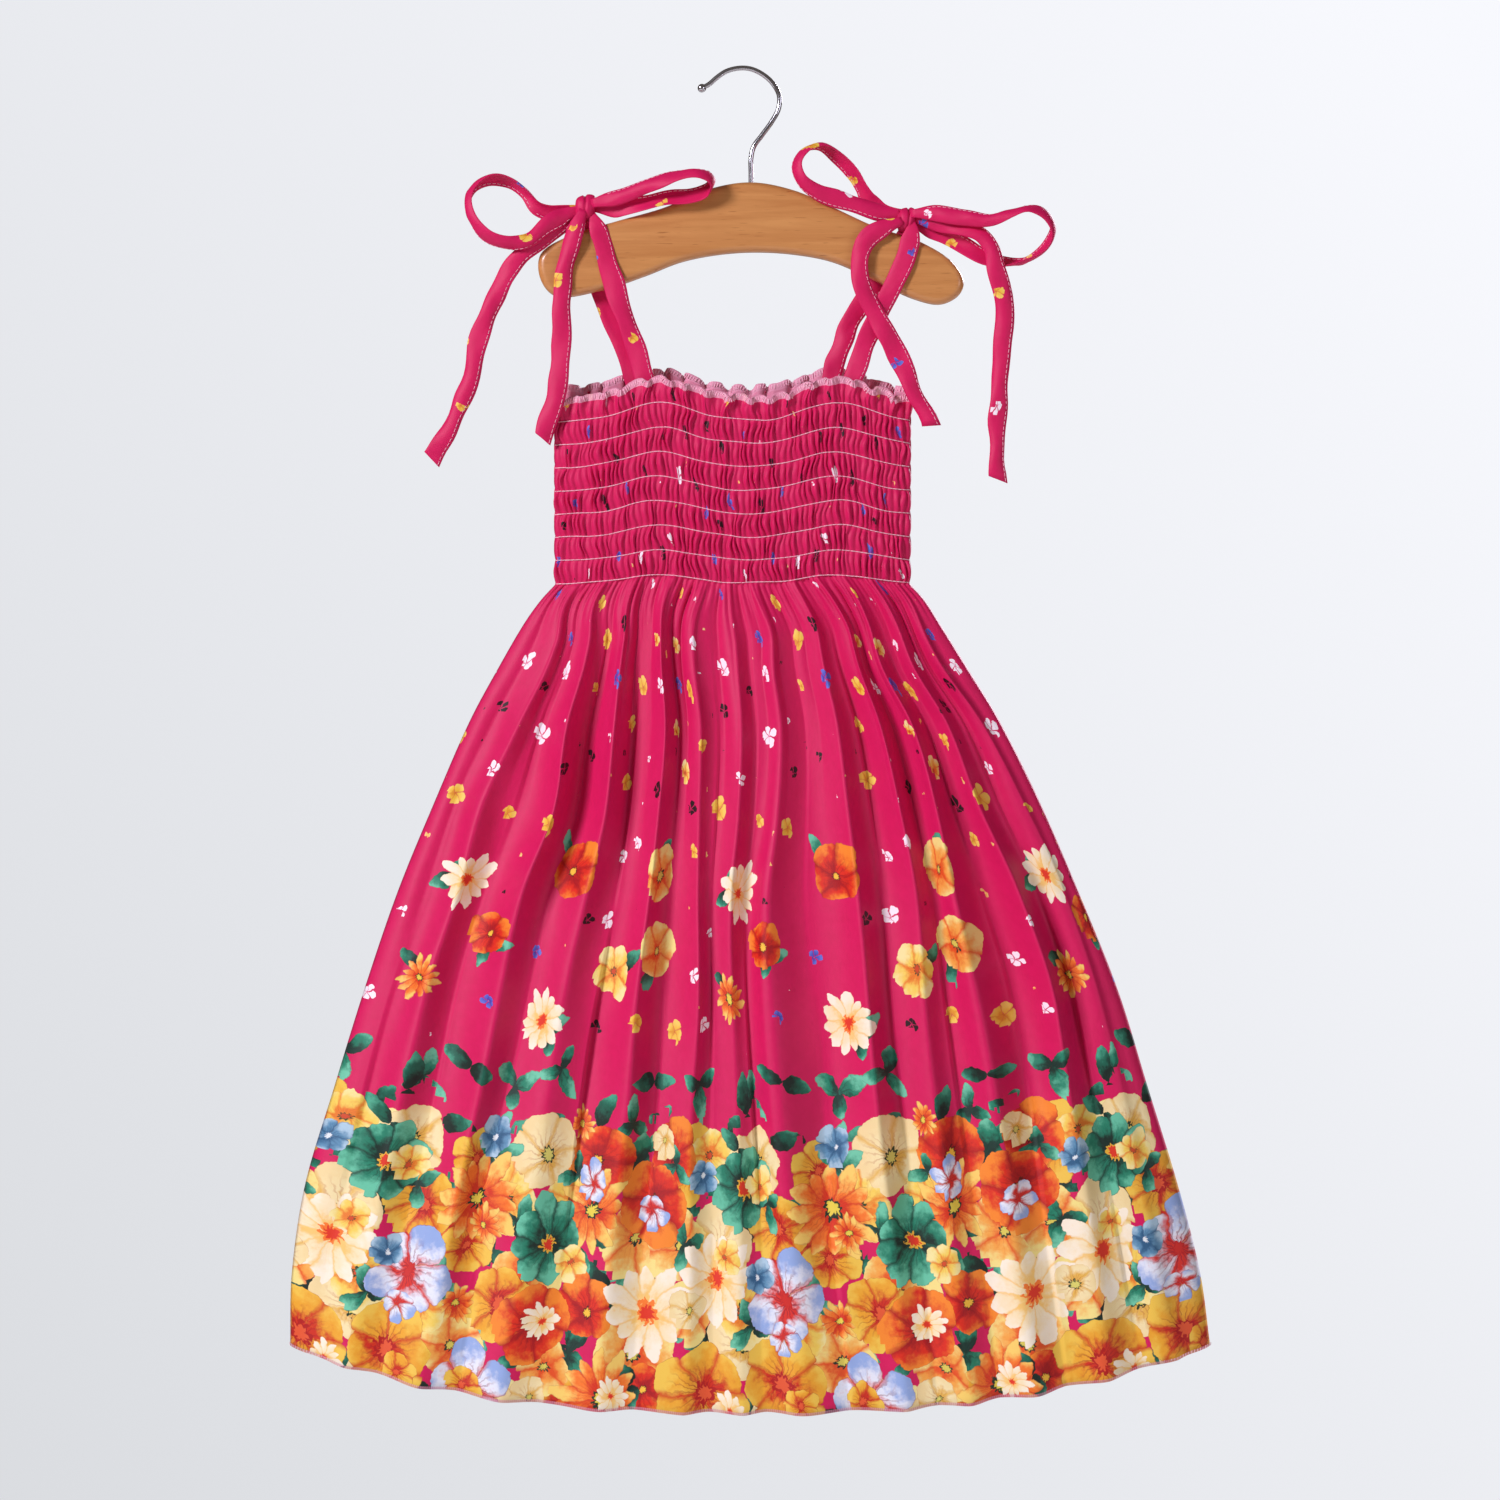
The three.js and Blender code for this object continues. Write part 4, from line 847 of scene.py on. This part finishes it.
print("stitches")
stitchPieces = {}
for panelName, panelFacts in panels.items():
    side = "front" if panelFacts["face"] < 0 else "back"
    count = bodice["gathers"] * cloth["columns"]
    rows = []
    for row in range(bodice["rows"]):
        line, _, normals = panelLine(panelFacts, row, count, 0)
        rise = np.max([np.roll(line @ [0, panelFacts["face"], 0], k) for k in range(-3, 4)], axis=0)
        line[4:-4, 1] = panelFacts["face"] * (rise[4:-4] + 0.12)
        rows.append((line[1:-1:3], normals[1:-1:3]))
    name = side + "ShirringThread"
    stitchPieces[name] = (makeStitches(name, "shirring", rows, paleThread, 3), panelName)
    for edge, level, kind, thread, upward in (("Frill", -1, "frillEdge", paleThread, 1),
                                              ("Hem", lastRow + skirt["length"], "hemEdge", hemThread, -1)):
        outerLine, _, normals = panelLine(panelFacts, level, count, 0)
        innerLine, _, _ = panelLine(panelFacts, level, count, cloth["thickness"])
        middle = (outerLine + innerLine) / 2
        ups = np.tile([0.0, 0.0, upward], (len(middle), 1))
        name = side + edge + "Overlock"
        stitchPieces[name] = (makeStitches(name, kind, [(middle[::2], ups[::2])], thread, 5), panelName)


# Tie straps: folded cotton tape, about 12 mm wide

tape = {"width": 12.2, "thickness": 1.5, "pinched": 0.42, "pinchLength": 16, "perSpan": 6, "around": 20,
        "seamInset": 1.5, "camber": 0.35, "crease": 0.85, "wobble": 0.5, "roll": 0.3,
        "curl": {"riser": 0.1, "tail": 0.6, "loop": 0.9}, "curlDepth": 2.9, "curlPinch": 0.26}
# Each knot: its centre, half its size across, deep and high, and where its creases start
knots = {"left": ((-95, -2, -83.5), (6, 6.4, 8.6), 0.5), "right": ((98, -2, -90.5), (5.4, 6.4, 7.8), -0.4)}
wraps = {"around": 48, "along": 28, "turns": 3.1, "groove": 0.2, "uneven": 0.05, "lean": 0.16}

# Stations of each tie from its knot: x, z, y, and how far the tape is turned open across its loop
ties = {
    "left_front_riser": [
        (-92, -86, -4, 0), (-88, -95, -7.2, 0), (-85, -104, -7.3, 0), (-81, -119, -7.3, 0),
        (-74, -141, -6.9, 0),
        (-67, -161, -6.3, 0), (-60, -183, -5.6, 0), (-54, -207, -5.6, 0)],
    "left_back_riser": [
        (-94, -87, 2.5, 0), (-93, -95, 7.2, 0), (-92, -108, 7.3, 0), (-86, -134, 7.2, 0),
        (-78, -152, 6.6, 0),
        (-70, -172, 6, 0), (-66, -184, 5.4, 0), (-61, -204, 5.4, 0)],
    "left_tail_inner": [
        (-96, -85, -7.4, 0), (-101, -98, -10.2, 0), (-106, -116, -9, 0), (-109, -140, -9, 0),
        (-109, -163, -9, 0),
        (-111, -188, -9, 0), (-115, -206, -9, 0), (-120, -223, -9, 0)],
    "left_tail_outer": [
        (-98, -85, -1.8, 0), (-109, -93, -4.6, 0), (-119, -101, -7.4, 0), (-133, -112, -7.4, 0),
        (-142, -123, -7, 0), (-151, -143, -6, 0), (-159, -163, -5, 0), (-165, -189, -4, 0),
        (-176, -213, -4, 0),
        (-187, -235, -4, 0)],
    "left_loop_outer": [
        (-98, -84, -4, 0), (-107, -88, -5.8, 0), (-116, -94, -9.6, 0.1), (-128, -104, -12.4, 0.4),
        (-140, -106, -13.4, 0.8), (-153, -102, -13.4, 1), (-162, -92, -12, 1), (-165, -80, -9, 1),
        (-161, -70, -4, 1), (-151, -65, -1, 1), (-140, -67, 1, 1), (-131, -74, 1.5, 0.9),
        (-124, -83, 1.4, 0.5),
        (-115, -86, 1.2, 0.1), (-98, -83, 1, 0)],
    "left_loop_inner": [
        (-91, -81, -6.4, 0), (-74, -77, -10.4, 0.2), (-57, -71, -14.4, 0.7), (-41, -66, -17.4, 1),
        (-26, -64, -18.4, 1), (-19, -67, -15.6, 1), (-21, -73, -11.4, 1), (-33, -77, -10.2, 0.7),
        (-48, -79, -9.6, 0.4), (-64, -82, -8, 0.1), (-78, -83, -4.2, 0), (-91, -83, -1, 0)],
    "right_front_riser": [
        (100.5, -90, -4.4, 0), (101.5, -97, -7, 0), (100, -105, -7.4, 0), (97, -117, -7.4, 0),
        (88, -134, -7.4, 0),
        (78, -155, -6.6, 0), (70, -177, -5.4, 0), (65, -190, -4.7, 0), (59, -208, -4.7, 0)],
    "right_back_riser": [
        (99, -91, 1.6, 0), (98, -97, 6.7, 0), (94, -106, 7.4, 0), (86, -119, 7.4, 0), (71, -141, 7.2, 0),
        (63, -156, 6.6, 0), (57, -171, 6, 0), (53, -185, 5.4, 0), (49, -204, 5.4, 0)],
    "right_tail_inner": [
        (95.5, -91.5, -7.4, 0), (85, -96, -10, 0), (76, -101, -10, 0), (71, -110, -10, 0),
        (70, -121, -10, 0),
        (73, -134, -9.9, 0), (80, -149, -9.8, 0), (91, -168, -9.6, 0), (101, -190, -9.4, 0),
        (113, -215, -9.2, 0)],
    "right_tail_outer": [
        (101, -89, -2.6, 0), (117, -92, -5.4, 0), (133, -96, -8.5, 0), (143, -100, -9.6, 0),
        (149, -108, -10.4, 0),
        (152, -120, -10.6, 0), (157, -137, -9.4, 0), (157, -152, -8.4, 0), (155, -177, -7, 0),
        (154, -200, -6, 0),
        (153, -222, -6, 0), (153, -247, -6, 0)],
    "right_loop_outer": [
        (101, -87, -7, 0), (117, -87, -10, 0), (133, -90, -12.8, 0.2), (147, -91, -15, 0.6),
        (160, -88, -16, 0.9),
        (172, -85, -15.4, 1), (182, -89, -13, 1), (186, -98, -10, 1), (182, -107, -7, 1),
        (170, -115, -4.6, 1),
        (157, -116, -3.6, 0.6), (146, -113, -3.2, 0.3), (132, -105, -2.2, 0.1), (117, -97, -0.2, 0),
        (101, -91, 0.4, 0)],
    "right_loop_inner": [
        (95, -88, -4.2, 0), (77, -85, -6.4, 0), (59, -79, -8.6, 0.1), (45, -75, -10, 0.4),
        (35, -68, -11, 0.9),
        (32, -58, -9.6, 1), (37, -49, -6.4, 1), (47, -46, -3, 1), (58, -52, 0, 1), (67, -62, 2, 1),
        (72, -71, 2.6, 0.9), (76, -79, 2.4, 0.5), (83, -84, 1.2, 0.1), (95, -86, -0.4, 0)],
}
loopAcross = {
    "left_loop_outer": (-0.35, 0.8, -0.5), "left_loop_inner": (0.25, 0.62, 0.74),
    "right_loop_outer": (0.3, 0.85, 0.42), "right_loop_inner": (-0.4, 0.78, -0.45),
}


# Smooth line through points, with more points where it was given more stations
def throughPoints(points, perSpan, closed=False):
    points = np.asarray(points, float)
    if closed:
        padded = np.concatenate([points[-1:], points, points[:2]])
    else:
        padded = np.concatenate([[2 * points[0] - points[1]], points, [2 * points[-1] - points[-2]]])
    made = []
    for i in range(1, len(padded) - 2):
        p = padded[i - 1:i + 3]
        k = np.concatenate([[0], np.cumsum(np.sqrt(np.linalg.norm(np.diff(p, axis=0), axis=1)) + 1e-9)])
        for t in np.linspace(k[1], k[2], perSpan, endpoint=False):
            a = [(k[j + 1] - t) / (k[j + 1] - k[j]) * p[j] + (t - k[j]) / (k[j + 1] - k[j]) * p[j + 1]
                 for j in range(3)]
            b = [(k[j + 2] - t) / (k[j + 2] - k[j]) * a[j] + (t - k[j]) / (k[j + 2] - k[j]) * a[j + 1]
                 for j in range(2)]
            made.append((k[2] - t) / (k[2] - k[1]) * b[0] + (t - k[1]) / (k[2] - k[1]) * b[1])
    if not closed:
        made.append(points[-1])
    return np.array(made)


def makeStrap(name, stations, seed):
    line = throughPoints([(x, y, z) for x, z, y, _ in stations], tape["perSpan"])
    steps = np.linspace(0, len(stations) - 1, len(line))
    opening = np.interp(steps, range(len(stations)), [station[3] for station in stations])
    along = np.gradient(line, axis=0)
    along /= np.linalg.norm(along, axis=1)[:, None]
    run = np.concatenate([[0], np.cumsum(np.linalg.norm(np.diff(line, axis=0), axis=1))])
    total = run[-1]
    across = loopAcross.get(name)
    fromKnot = np.minimum(run, total - run) if across else run
    free = smooth(fromKnot / tape["pinchLength"])
    half = tape["width"] / 2 * (tape["pinched"] + (1 - tape["pinched"]) * free)
    half = half * (1 + 0.09 * unevenness(seed, run / 27, 0))
    # Curled along its length, a tape looks narrower and rounder than where it lies flat
    curl = next(amount for kind, amount in tape["curl"].items() if kind in name)
    curl = curl * free * np.clip(0.6 + 0.6 * unevenness(seed + 6, run / 52, 0), 0, 1)
    half = half * (1 - tape["curlPinch"] * curl)
    sag = tape["camber"] * free * (1 + 0.6 * unevenness(seed + 1, run / 25, 0)) + tape["curlDepth"] * curl
    flats, previous = [], None
    for direction, opened in zip(along, opening):
        flat = np.cross(direction, (0, 1, 0))
        flat /= np.linalg.norm(flat)
        if across:
            turned = np.array(across)
            if turned @ flat < 0:
                flat = -flat
            flat = flat * (1 - opened) + turned * opened
        flat = flat - direction * (flat @ direction)
        flat /= np.linalg.norm(flat)
        if previous is not None and flat @ previous < 0:
            flat = -flat
        previous = flat
        flats.append(flat)
    flats = np.array(flats)
    normals = np.cross(along, flats)
    roll = (tape["roll"] * free * unevenness(seed + 5, run / 44, 0))[:, None]
    cos, sin = np.cos(roll), np.sin(roll)
    flats, normals = flats * cos + normals * sin, normals * cos - flats * sin
    line = line + flats * (tape["wobble"] * free * unevenness(seed + 2, run / 31, 0))[:, None]
    turns = np.arange(tape["around"]) / tape["around"] * 2 * np.pi
    wide = np.sign(np.cos(turns)) * np.abs(np.cos(turns)) ** 0.7
    thick = np.sign(np.sin(turns)) * np.abs(np.sin(turns)) ** 0.6
    points, uv = [], []
    for i, centre in enumerate(line):
        fold = 0.15 + 0.3 * unevenness(seed + 3, run[i] / 46, 0)
        crease = tape["crease"] * np.exp(-(((wide - fold) / 0.24) ** 2))
        crease = crease * unevenness(seed + 4, run[i] / 20, 0)
        lift = thick * tape["thickness"] / 2 * (1 + 0.35 * (1 - free[i]))
        lift = lift + sag[i] * (0.5 - wide ** 2) + crease
        ends = 2.2 * wide * (1 if i == len(line) - 1 and not across else 0)
        ring = centre + np.outer(wide * half[i], flats[i]) + np.outer(lift, normals[i])
        points.append(ring + np.outer(ends, along[i]))
        uv.append(np.stack([np.full(len(wide), run[i]), wide * tape["width"] / 2], axis=1))
    mesh = solidMesh(name + "Tape", np.concatenate(points), tubeFaces(len(line), tape["around"]))
    motifs = scatterFlowers(strapBands, tapePrint["width"], seed)
    printOn(mesh, np.concatenate(uv), motifs, tapePrint)
    mesh.attributes.new("wrongSide", "FLOAT", "FACE")
    piece = newObject(name + "Tape", mesh, strapCotton)
    # Topstitching along one edge of the tape, on both of its faces
    edge = half - tape["seamInset"]
    seams = []
    for side in (-1, 1):
        lift = side * (tape["thickness"] / 2 - 0.1) + sag * (0.5 - (edge / half) ** 2)
        seam = line + flats * edge[:, None] + normals * lift[:, None]
        keep = free > 0.6
        seams.append((seam[keep], side * normals[keep]))
    stitches = makeStitches(name + "Topstitch", "topstitch", seams, paleThread, seed)
    return piece, stitches, total


# Knot: the tape wrapped tightly over itself, with creases along the wraps
def makeKnot(side, centre, size, start):
    around, along = wraps["around"], wraps["along"]
    points, uv = [], []
    for i in range(1, along):
        t = math.pi * i / along
        for j in range(around):
            turn = 2 * math.pi * j / around
            x = -math.cos(t)
            radius = math.sin(t) ** 0.45
            crease = abs(math.sin(wraps["turns"] * x + 0.6 * math.sin(turn) + start))
            radius *= 1 - wraps["groove"] * (1 - min(1, crease * 2))
            radius *= 1 + wraps["uneven"] * math.sin(3 * turn + 2 * x)
            high = radius * math.cos(turn)
            lean = wraps["lean"] * high
            local = np.array([x * (1 + lean) + lean, radius * math.sin(turn), high])
            points.append(np.array(centre) + local * size)
            uv.append((turn * 7 + 20, x * 6))
    first, last = len(points), len(points) + 1
    points += [np.array(centre) - [size[0], 0, 0], np.array(centre) + [size[0], 0, 0]]
    uv += [(20, -6), (20, 6)]
    faces = []
    for i in range(along - 2):
        for j in range(around):
            a, b = i * around + j, i * around + (j + 1) % around
            faces.append((a, a + around, b + around, b))
    for j in range(around):
        faces.append((first, j, (j + 1) % around))
        base = (along - 2) * around
        faces.append((last, base + (j + 1) % around, base + j))
    mesh = solidMesh(side + "BowKnot", np.array(points), faces)
    printOn(mesh, np.array(uv), [], tapePrint)
    mesh.attributes.new("wrongSide", "FLOAT", "FACE")
    return newObject(side + "BowKnot", mesh, strapCotton)


print("straps")
straps = {}
for number, (strapName, stations) in enumerate(ties.items()):
    straps[strapName] = makeStrap(strapName, stations, 100 + 7 * number)
knotPieces = {side: makeKnot(side, *facts) for side, facts in knots.items()}


# Hanger: a cut and rounded board with the hook's wire let into it

hanger = {"thickness": 12, "rounding": 4.4, "perSpan": 9}
hangerTop = [(-122, -111), (-104, -99.5), (-76, -91), (-48, -83), (-20, -71.5), (5, -67.6), (31, -72.5),
             (54, -82.5), (79, -94), (108, -104), (127, -116.5), (133, -128)]
hangerBottom = [(-122, -126), (-113, -136), (-85, -132.5), (-59, -124), (-37, -115.5), (-14, -111),
                (8, -109.6), (31, -111), (54, -115.5), (79, -126.5), (102, -137.5),
                (119, -141), (130, -135.5)]
hookRoute = [(-24.8, -10.6), (-20.4, -8.2), (-16, -4.4), (-10, -0.4), (-2, 1.5), (5, 0.9), (12, -2.4),
             (18, -7.8), (21.8, -15), (21.4, -23), (17.2, -31), (11.4, -39), (6.4, -46), (4.8, -53),
             (4.8, -62), (4.8, -78)]
hook = {"wire": 3, "ball": 5.2, "perSpan": 6, "around": 20}


def makeHanger():
    outline = [(x, z, 0) for x, z in hangerTop + hangerBottom[::-1]]
    outline = throughPoints(outline, hanger["perSpan"], closed=True)
    curve = bpy.data.curves.new("hangerBoard", "CURVE")
    curve.dimensions = "2D"
    curve.fill_mode = "BOTH"
    spline = curve.splines.new("POLY")
    spline.points.add(len(outline) - 1)
    for point, (x, z, _) in zip(spline.points, outline):
        point.co = (x * mm, z * mm, 0, 1)
    spline.use_cyclic_u = True
    curve.extrude = (hanger["thickness"] / 2 - hanger["rounding"]) * mm
    curve.bevel_depth = hanger["rounding"] * mm
    curve.bevel_resolution = 6
    curve.offset = -hanger["rounding"] * mm
    shape = bpy.data.objects.new("hangerBoard", curve)
    scene.collection.objects.link(shape)
    bpy.context.view_layer.update()
    mesh = bpy.data.meshes.new_from_object(shape.evaluated_get(bpy.context.evaluated_depsgraph_get()))
    bpy.data.objects.remove(shape)
    build = bmesh.new()
    build.from_mesh(mesh)
    bmesh.ops.remove_doubles(build, verts=build.verts, dist=0.02 * mm)
    for vert in build.verts:
        x, y, z = vert.co
        vert.co = (x, -z, y)
    bmesh.ops.recalc_face_normals(build, faces=build.faces)
    build.to_mesh(mesh)
    build.free()
    mesh.materials.clear()
    mesh.shade_smooth()
    mesh.set_sharp_from_angle(angle=math.radians(40))
    return newObject("beechHanger", mesh, varnishedBeech)


def makeHook():
    route = throughPoints([(x, 0, z) for x, z in hookRoute], hook["perSpan"])
    along = np.gradient(route, axis=0)
    along /= np.linalg.norm(along, axis=1)[:, None]
    side = np.array([0, 1, 0])
    turns = np.arange(hook["around"]) / hook["around"] * 2 * np.pi
    points = []
    for centre, direction in zip(route, along):
        other = np.cross(direction, side)
        section = np.outer(np.cos(turns), side) + np.outer(np.sin(turns), other)
        points.append(centre + hook["wire"] / 2 * section)
    mesh = solidMesh("chromedHook", np.concatenate(points), tubeFaces(len(route), hook["around"]))
    build = bmesh.new()
    build.from_mesh(mesh)
    made = bmesh.ops.create_uvsphere(build, u_segments=28, v_segments=18, radius=hook["ball"] / 2 * mm)
    bmesh.ops.translate(build, verts=made["verts"], vec=(route[0][0] * mm, 0, route[0][2] * mm))
    build.to_mesh(mesh)
    build.free()
    mesh.shade_smooth()
    return newObject("chromedHook", mesh, chromedWire)


print("hanger")
beechHanger = makeHanger()
chromedHook = makeHook()


# What rides where and what it stands for

for panelName, panelFacts in panels.items():
    piece = pieces[panelName]
    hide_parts(panelFacts["node"])
    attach(piece, "root")
    fixed = [made for made, owner in stitchPieces.values() if owner == panelName]
    for made in fixed:
        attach(made, "root")

for strapName, (piece, stitches, length) in straps.items():
    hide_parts(strapName)
    for made in (piece, stitches):
        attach(made, "root")

for side, piece in knotPieces.items():
    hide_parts(side + "_bow_knot")
    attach(piece, "root")

for piece, node, finish in ((beechHanger, "hanger", "hanger_wood"), (chromedHook, "hook", "hook_chrome")):
    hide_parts(node)
    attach(piece, "root")


# Studio: pale floor well below, pale surroundings and soft lights

studio = {
    "floor": "#ecebe4", "floorDrop": 1.75, "floorRadius": 4.0, "glow": "#f8e5da", "surround": 0.155,
    # The backdrop's two colours, the way it brightens and the stretch over which it does: a painted light
    # falloff, darker to the lower left and brighter to the upper right
    "backdrop": ("#d8dade", "#f8f9fe"), "brightens": (1.25, 0.0, 1.0), "from": -0.45, "to": 0.36,
    "lightColour": "#f6f0ff", "lightsAimAt": (0, 0, -0.45),
    # place x, y, z in metres, width, power in watts
    "lights": [((-4.1, -4.0, 2.1), 1.5, 390), ((4.0, -3.6, 0.2), 2.4, 56), ((2.9, 4.6, 1.6), 1.8, 260)],
}

floorMesh = bpy.data.meshes.new("paleFloor")
rim = []
for k in range(64):
    turn = k * math.pi / 32
    reach = studio["floorRadius"]
    rim.append((reach * math.cos(turn), reach * math.sin(turn), -studio["floorDrop"]))
floorMesh.from_pydata(rim, [], [tuple(range(len(rim)))])
floorPaint, floorTree = newMaterial("mattFloorPaint")
finishMaterial(floorTree, {"Base Color": linear(studio["floor"]), "Roughness": 0.9})
floorPiece = newObject("paleFloor", floorMesh, floorPaint)

for number, (place, size, power) in enumerate(studio["lights"]):
    lamp = bpy.data.lights.new(f"softLight{number}", "AREA")
    lamp.size = size
    lamp.energy = power
    lamp.color = linear(studio["lightColour"])[:3]
    holder = bpy.data.objects.new(f"softLight{number}", lamp)
    scene.collection.objects.link(holder)
    holder.location = place
    away = holder.location - Vector(studio["lightsAimAt"])
    holder.rotation_euler = away.to_track_quat("Z", "Y").to_euler()

world = bpy.data.worlds.new("paleStudio")
scene.world = world
world.use_nodes = True
worldTree = world.node_tree
worldTree.nodes.clear()
seen = addNode(worldTree, "ShaderNodeLightPath").outputs["Is Camera Ray"]
# Painted light on the backdrop the camera sees: it blends from the dim colour at the lower left to the
# bright one at the upper right
way = addNode(worldTree, "ShaderNodeTexCoord").outputs["Generated"]
inputs = {0: way, 1: studio["brightens"]}
across = addNode(worldTree, "ShaderNodeVectorMath", inputs, operation="DOT_PRODUCT").outputs["Value"]
shade = addNode(worldTree, "ShaderNodeMapRange", {0: across, 1: studio["from"], 2: studio["to"]}).outputs[0]
dim, bright = (linear(code) for code in studio["backdrop"])
backColour = addNode(worldTree, "ShaderNodeMix", {0: shade, 6: dim, 7: bright}, data_type="RGBA").outputs[2]
backdrop = addNode(worldTree, "ShaderNodeBackground", {0: backColour, 1: 1.0})
glow = addNode(worldTree, "ShaderNodeBackground", {0: linear(studio["glow"]), 1: studio["surround"]})
either = addNode(worldTree, "ShaderNodeMixShader", {0: seen, 1: glow.outputs[0], 2: backdrop.outputs[0]})
addNode(worldTree, "ShaderNodeOutputWorld", {0: either.outputs[0]})
scene.view_settings.view_transform = "Standard"

print("done")
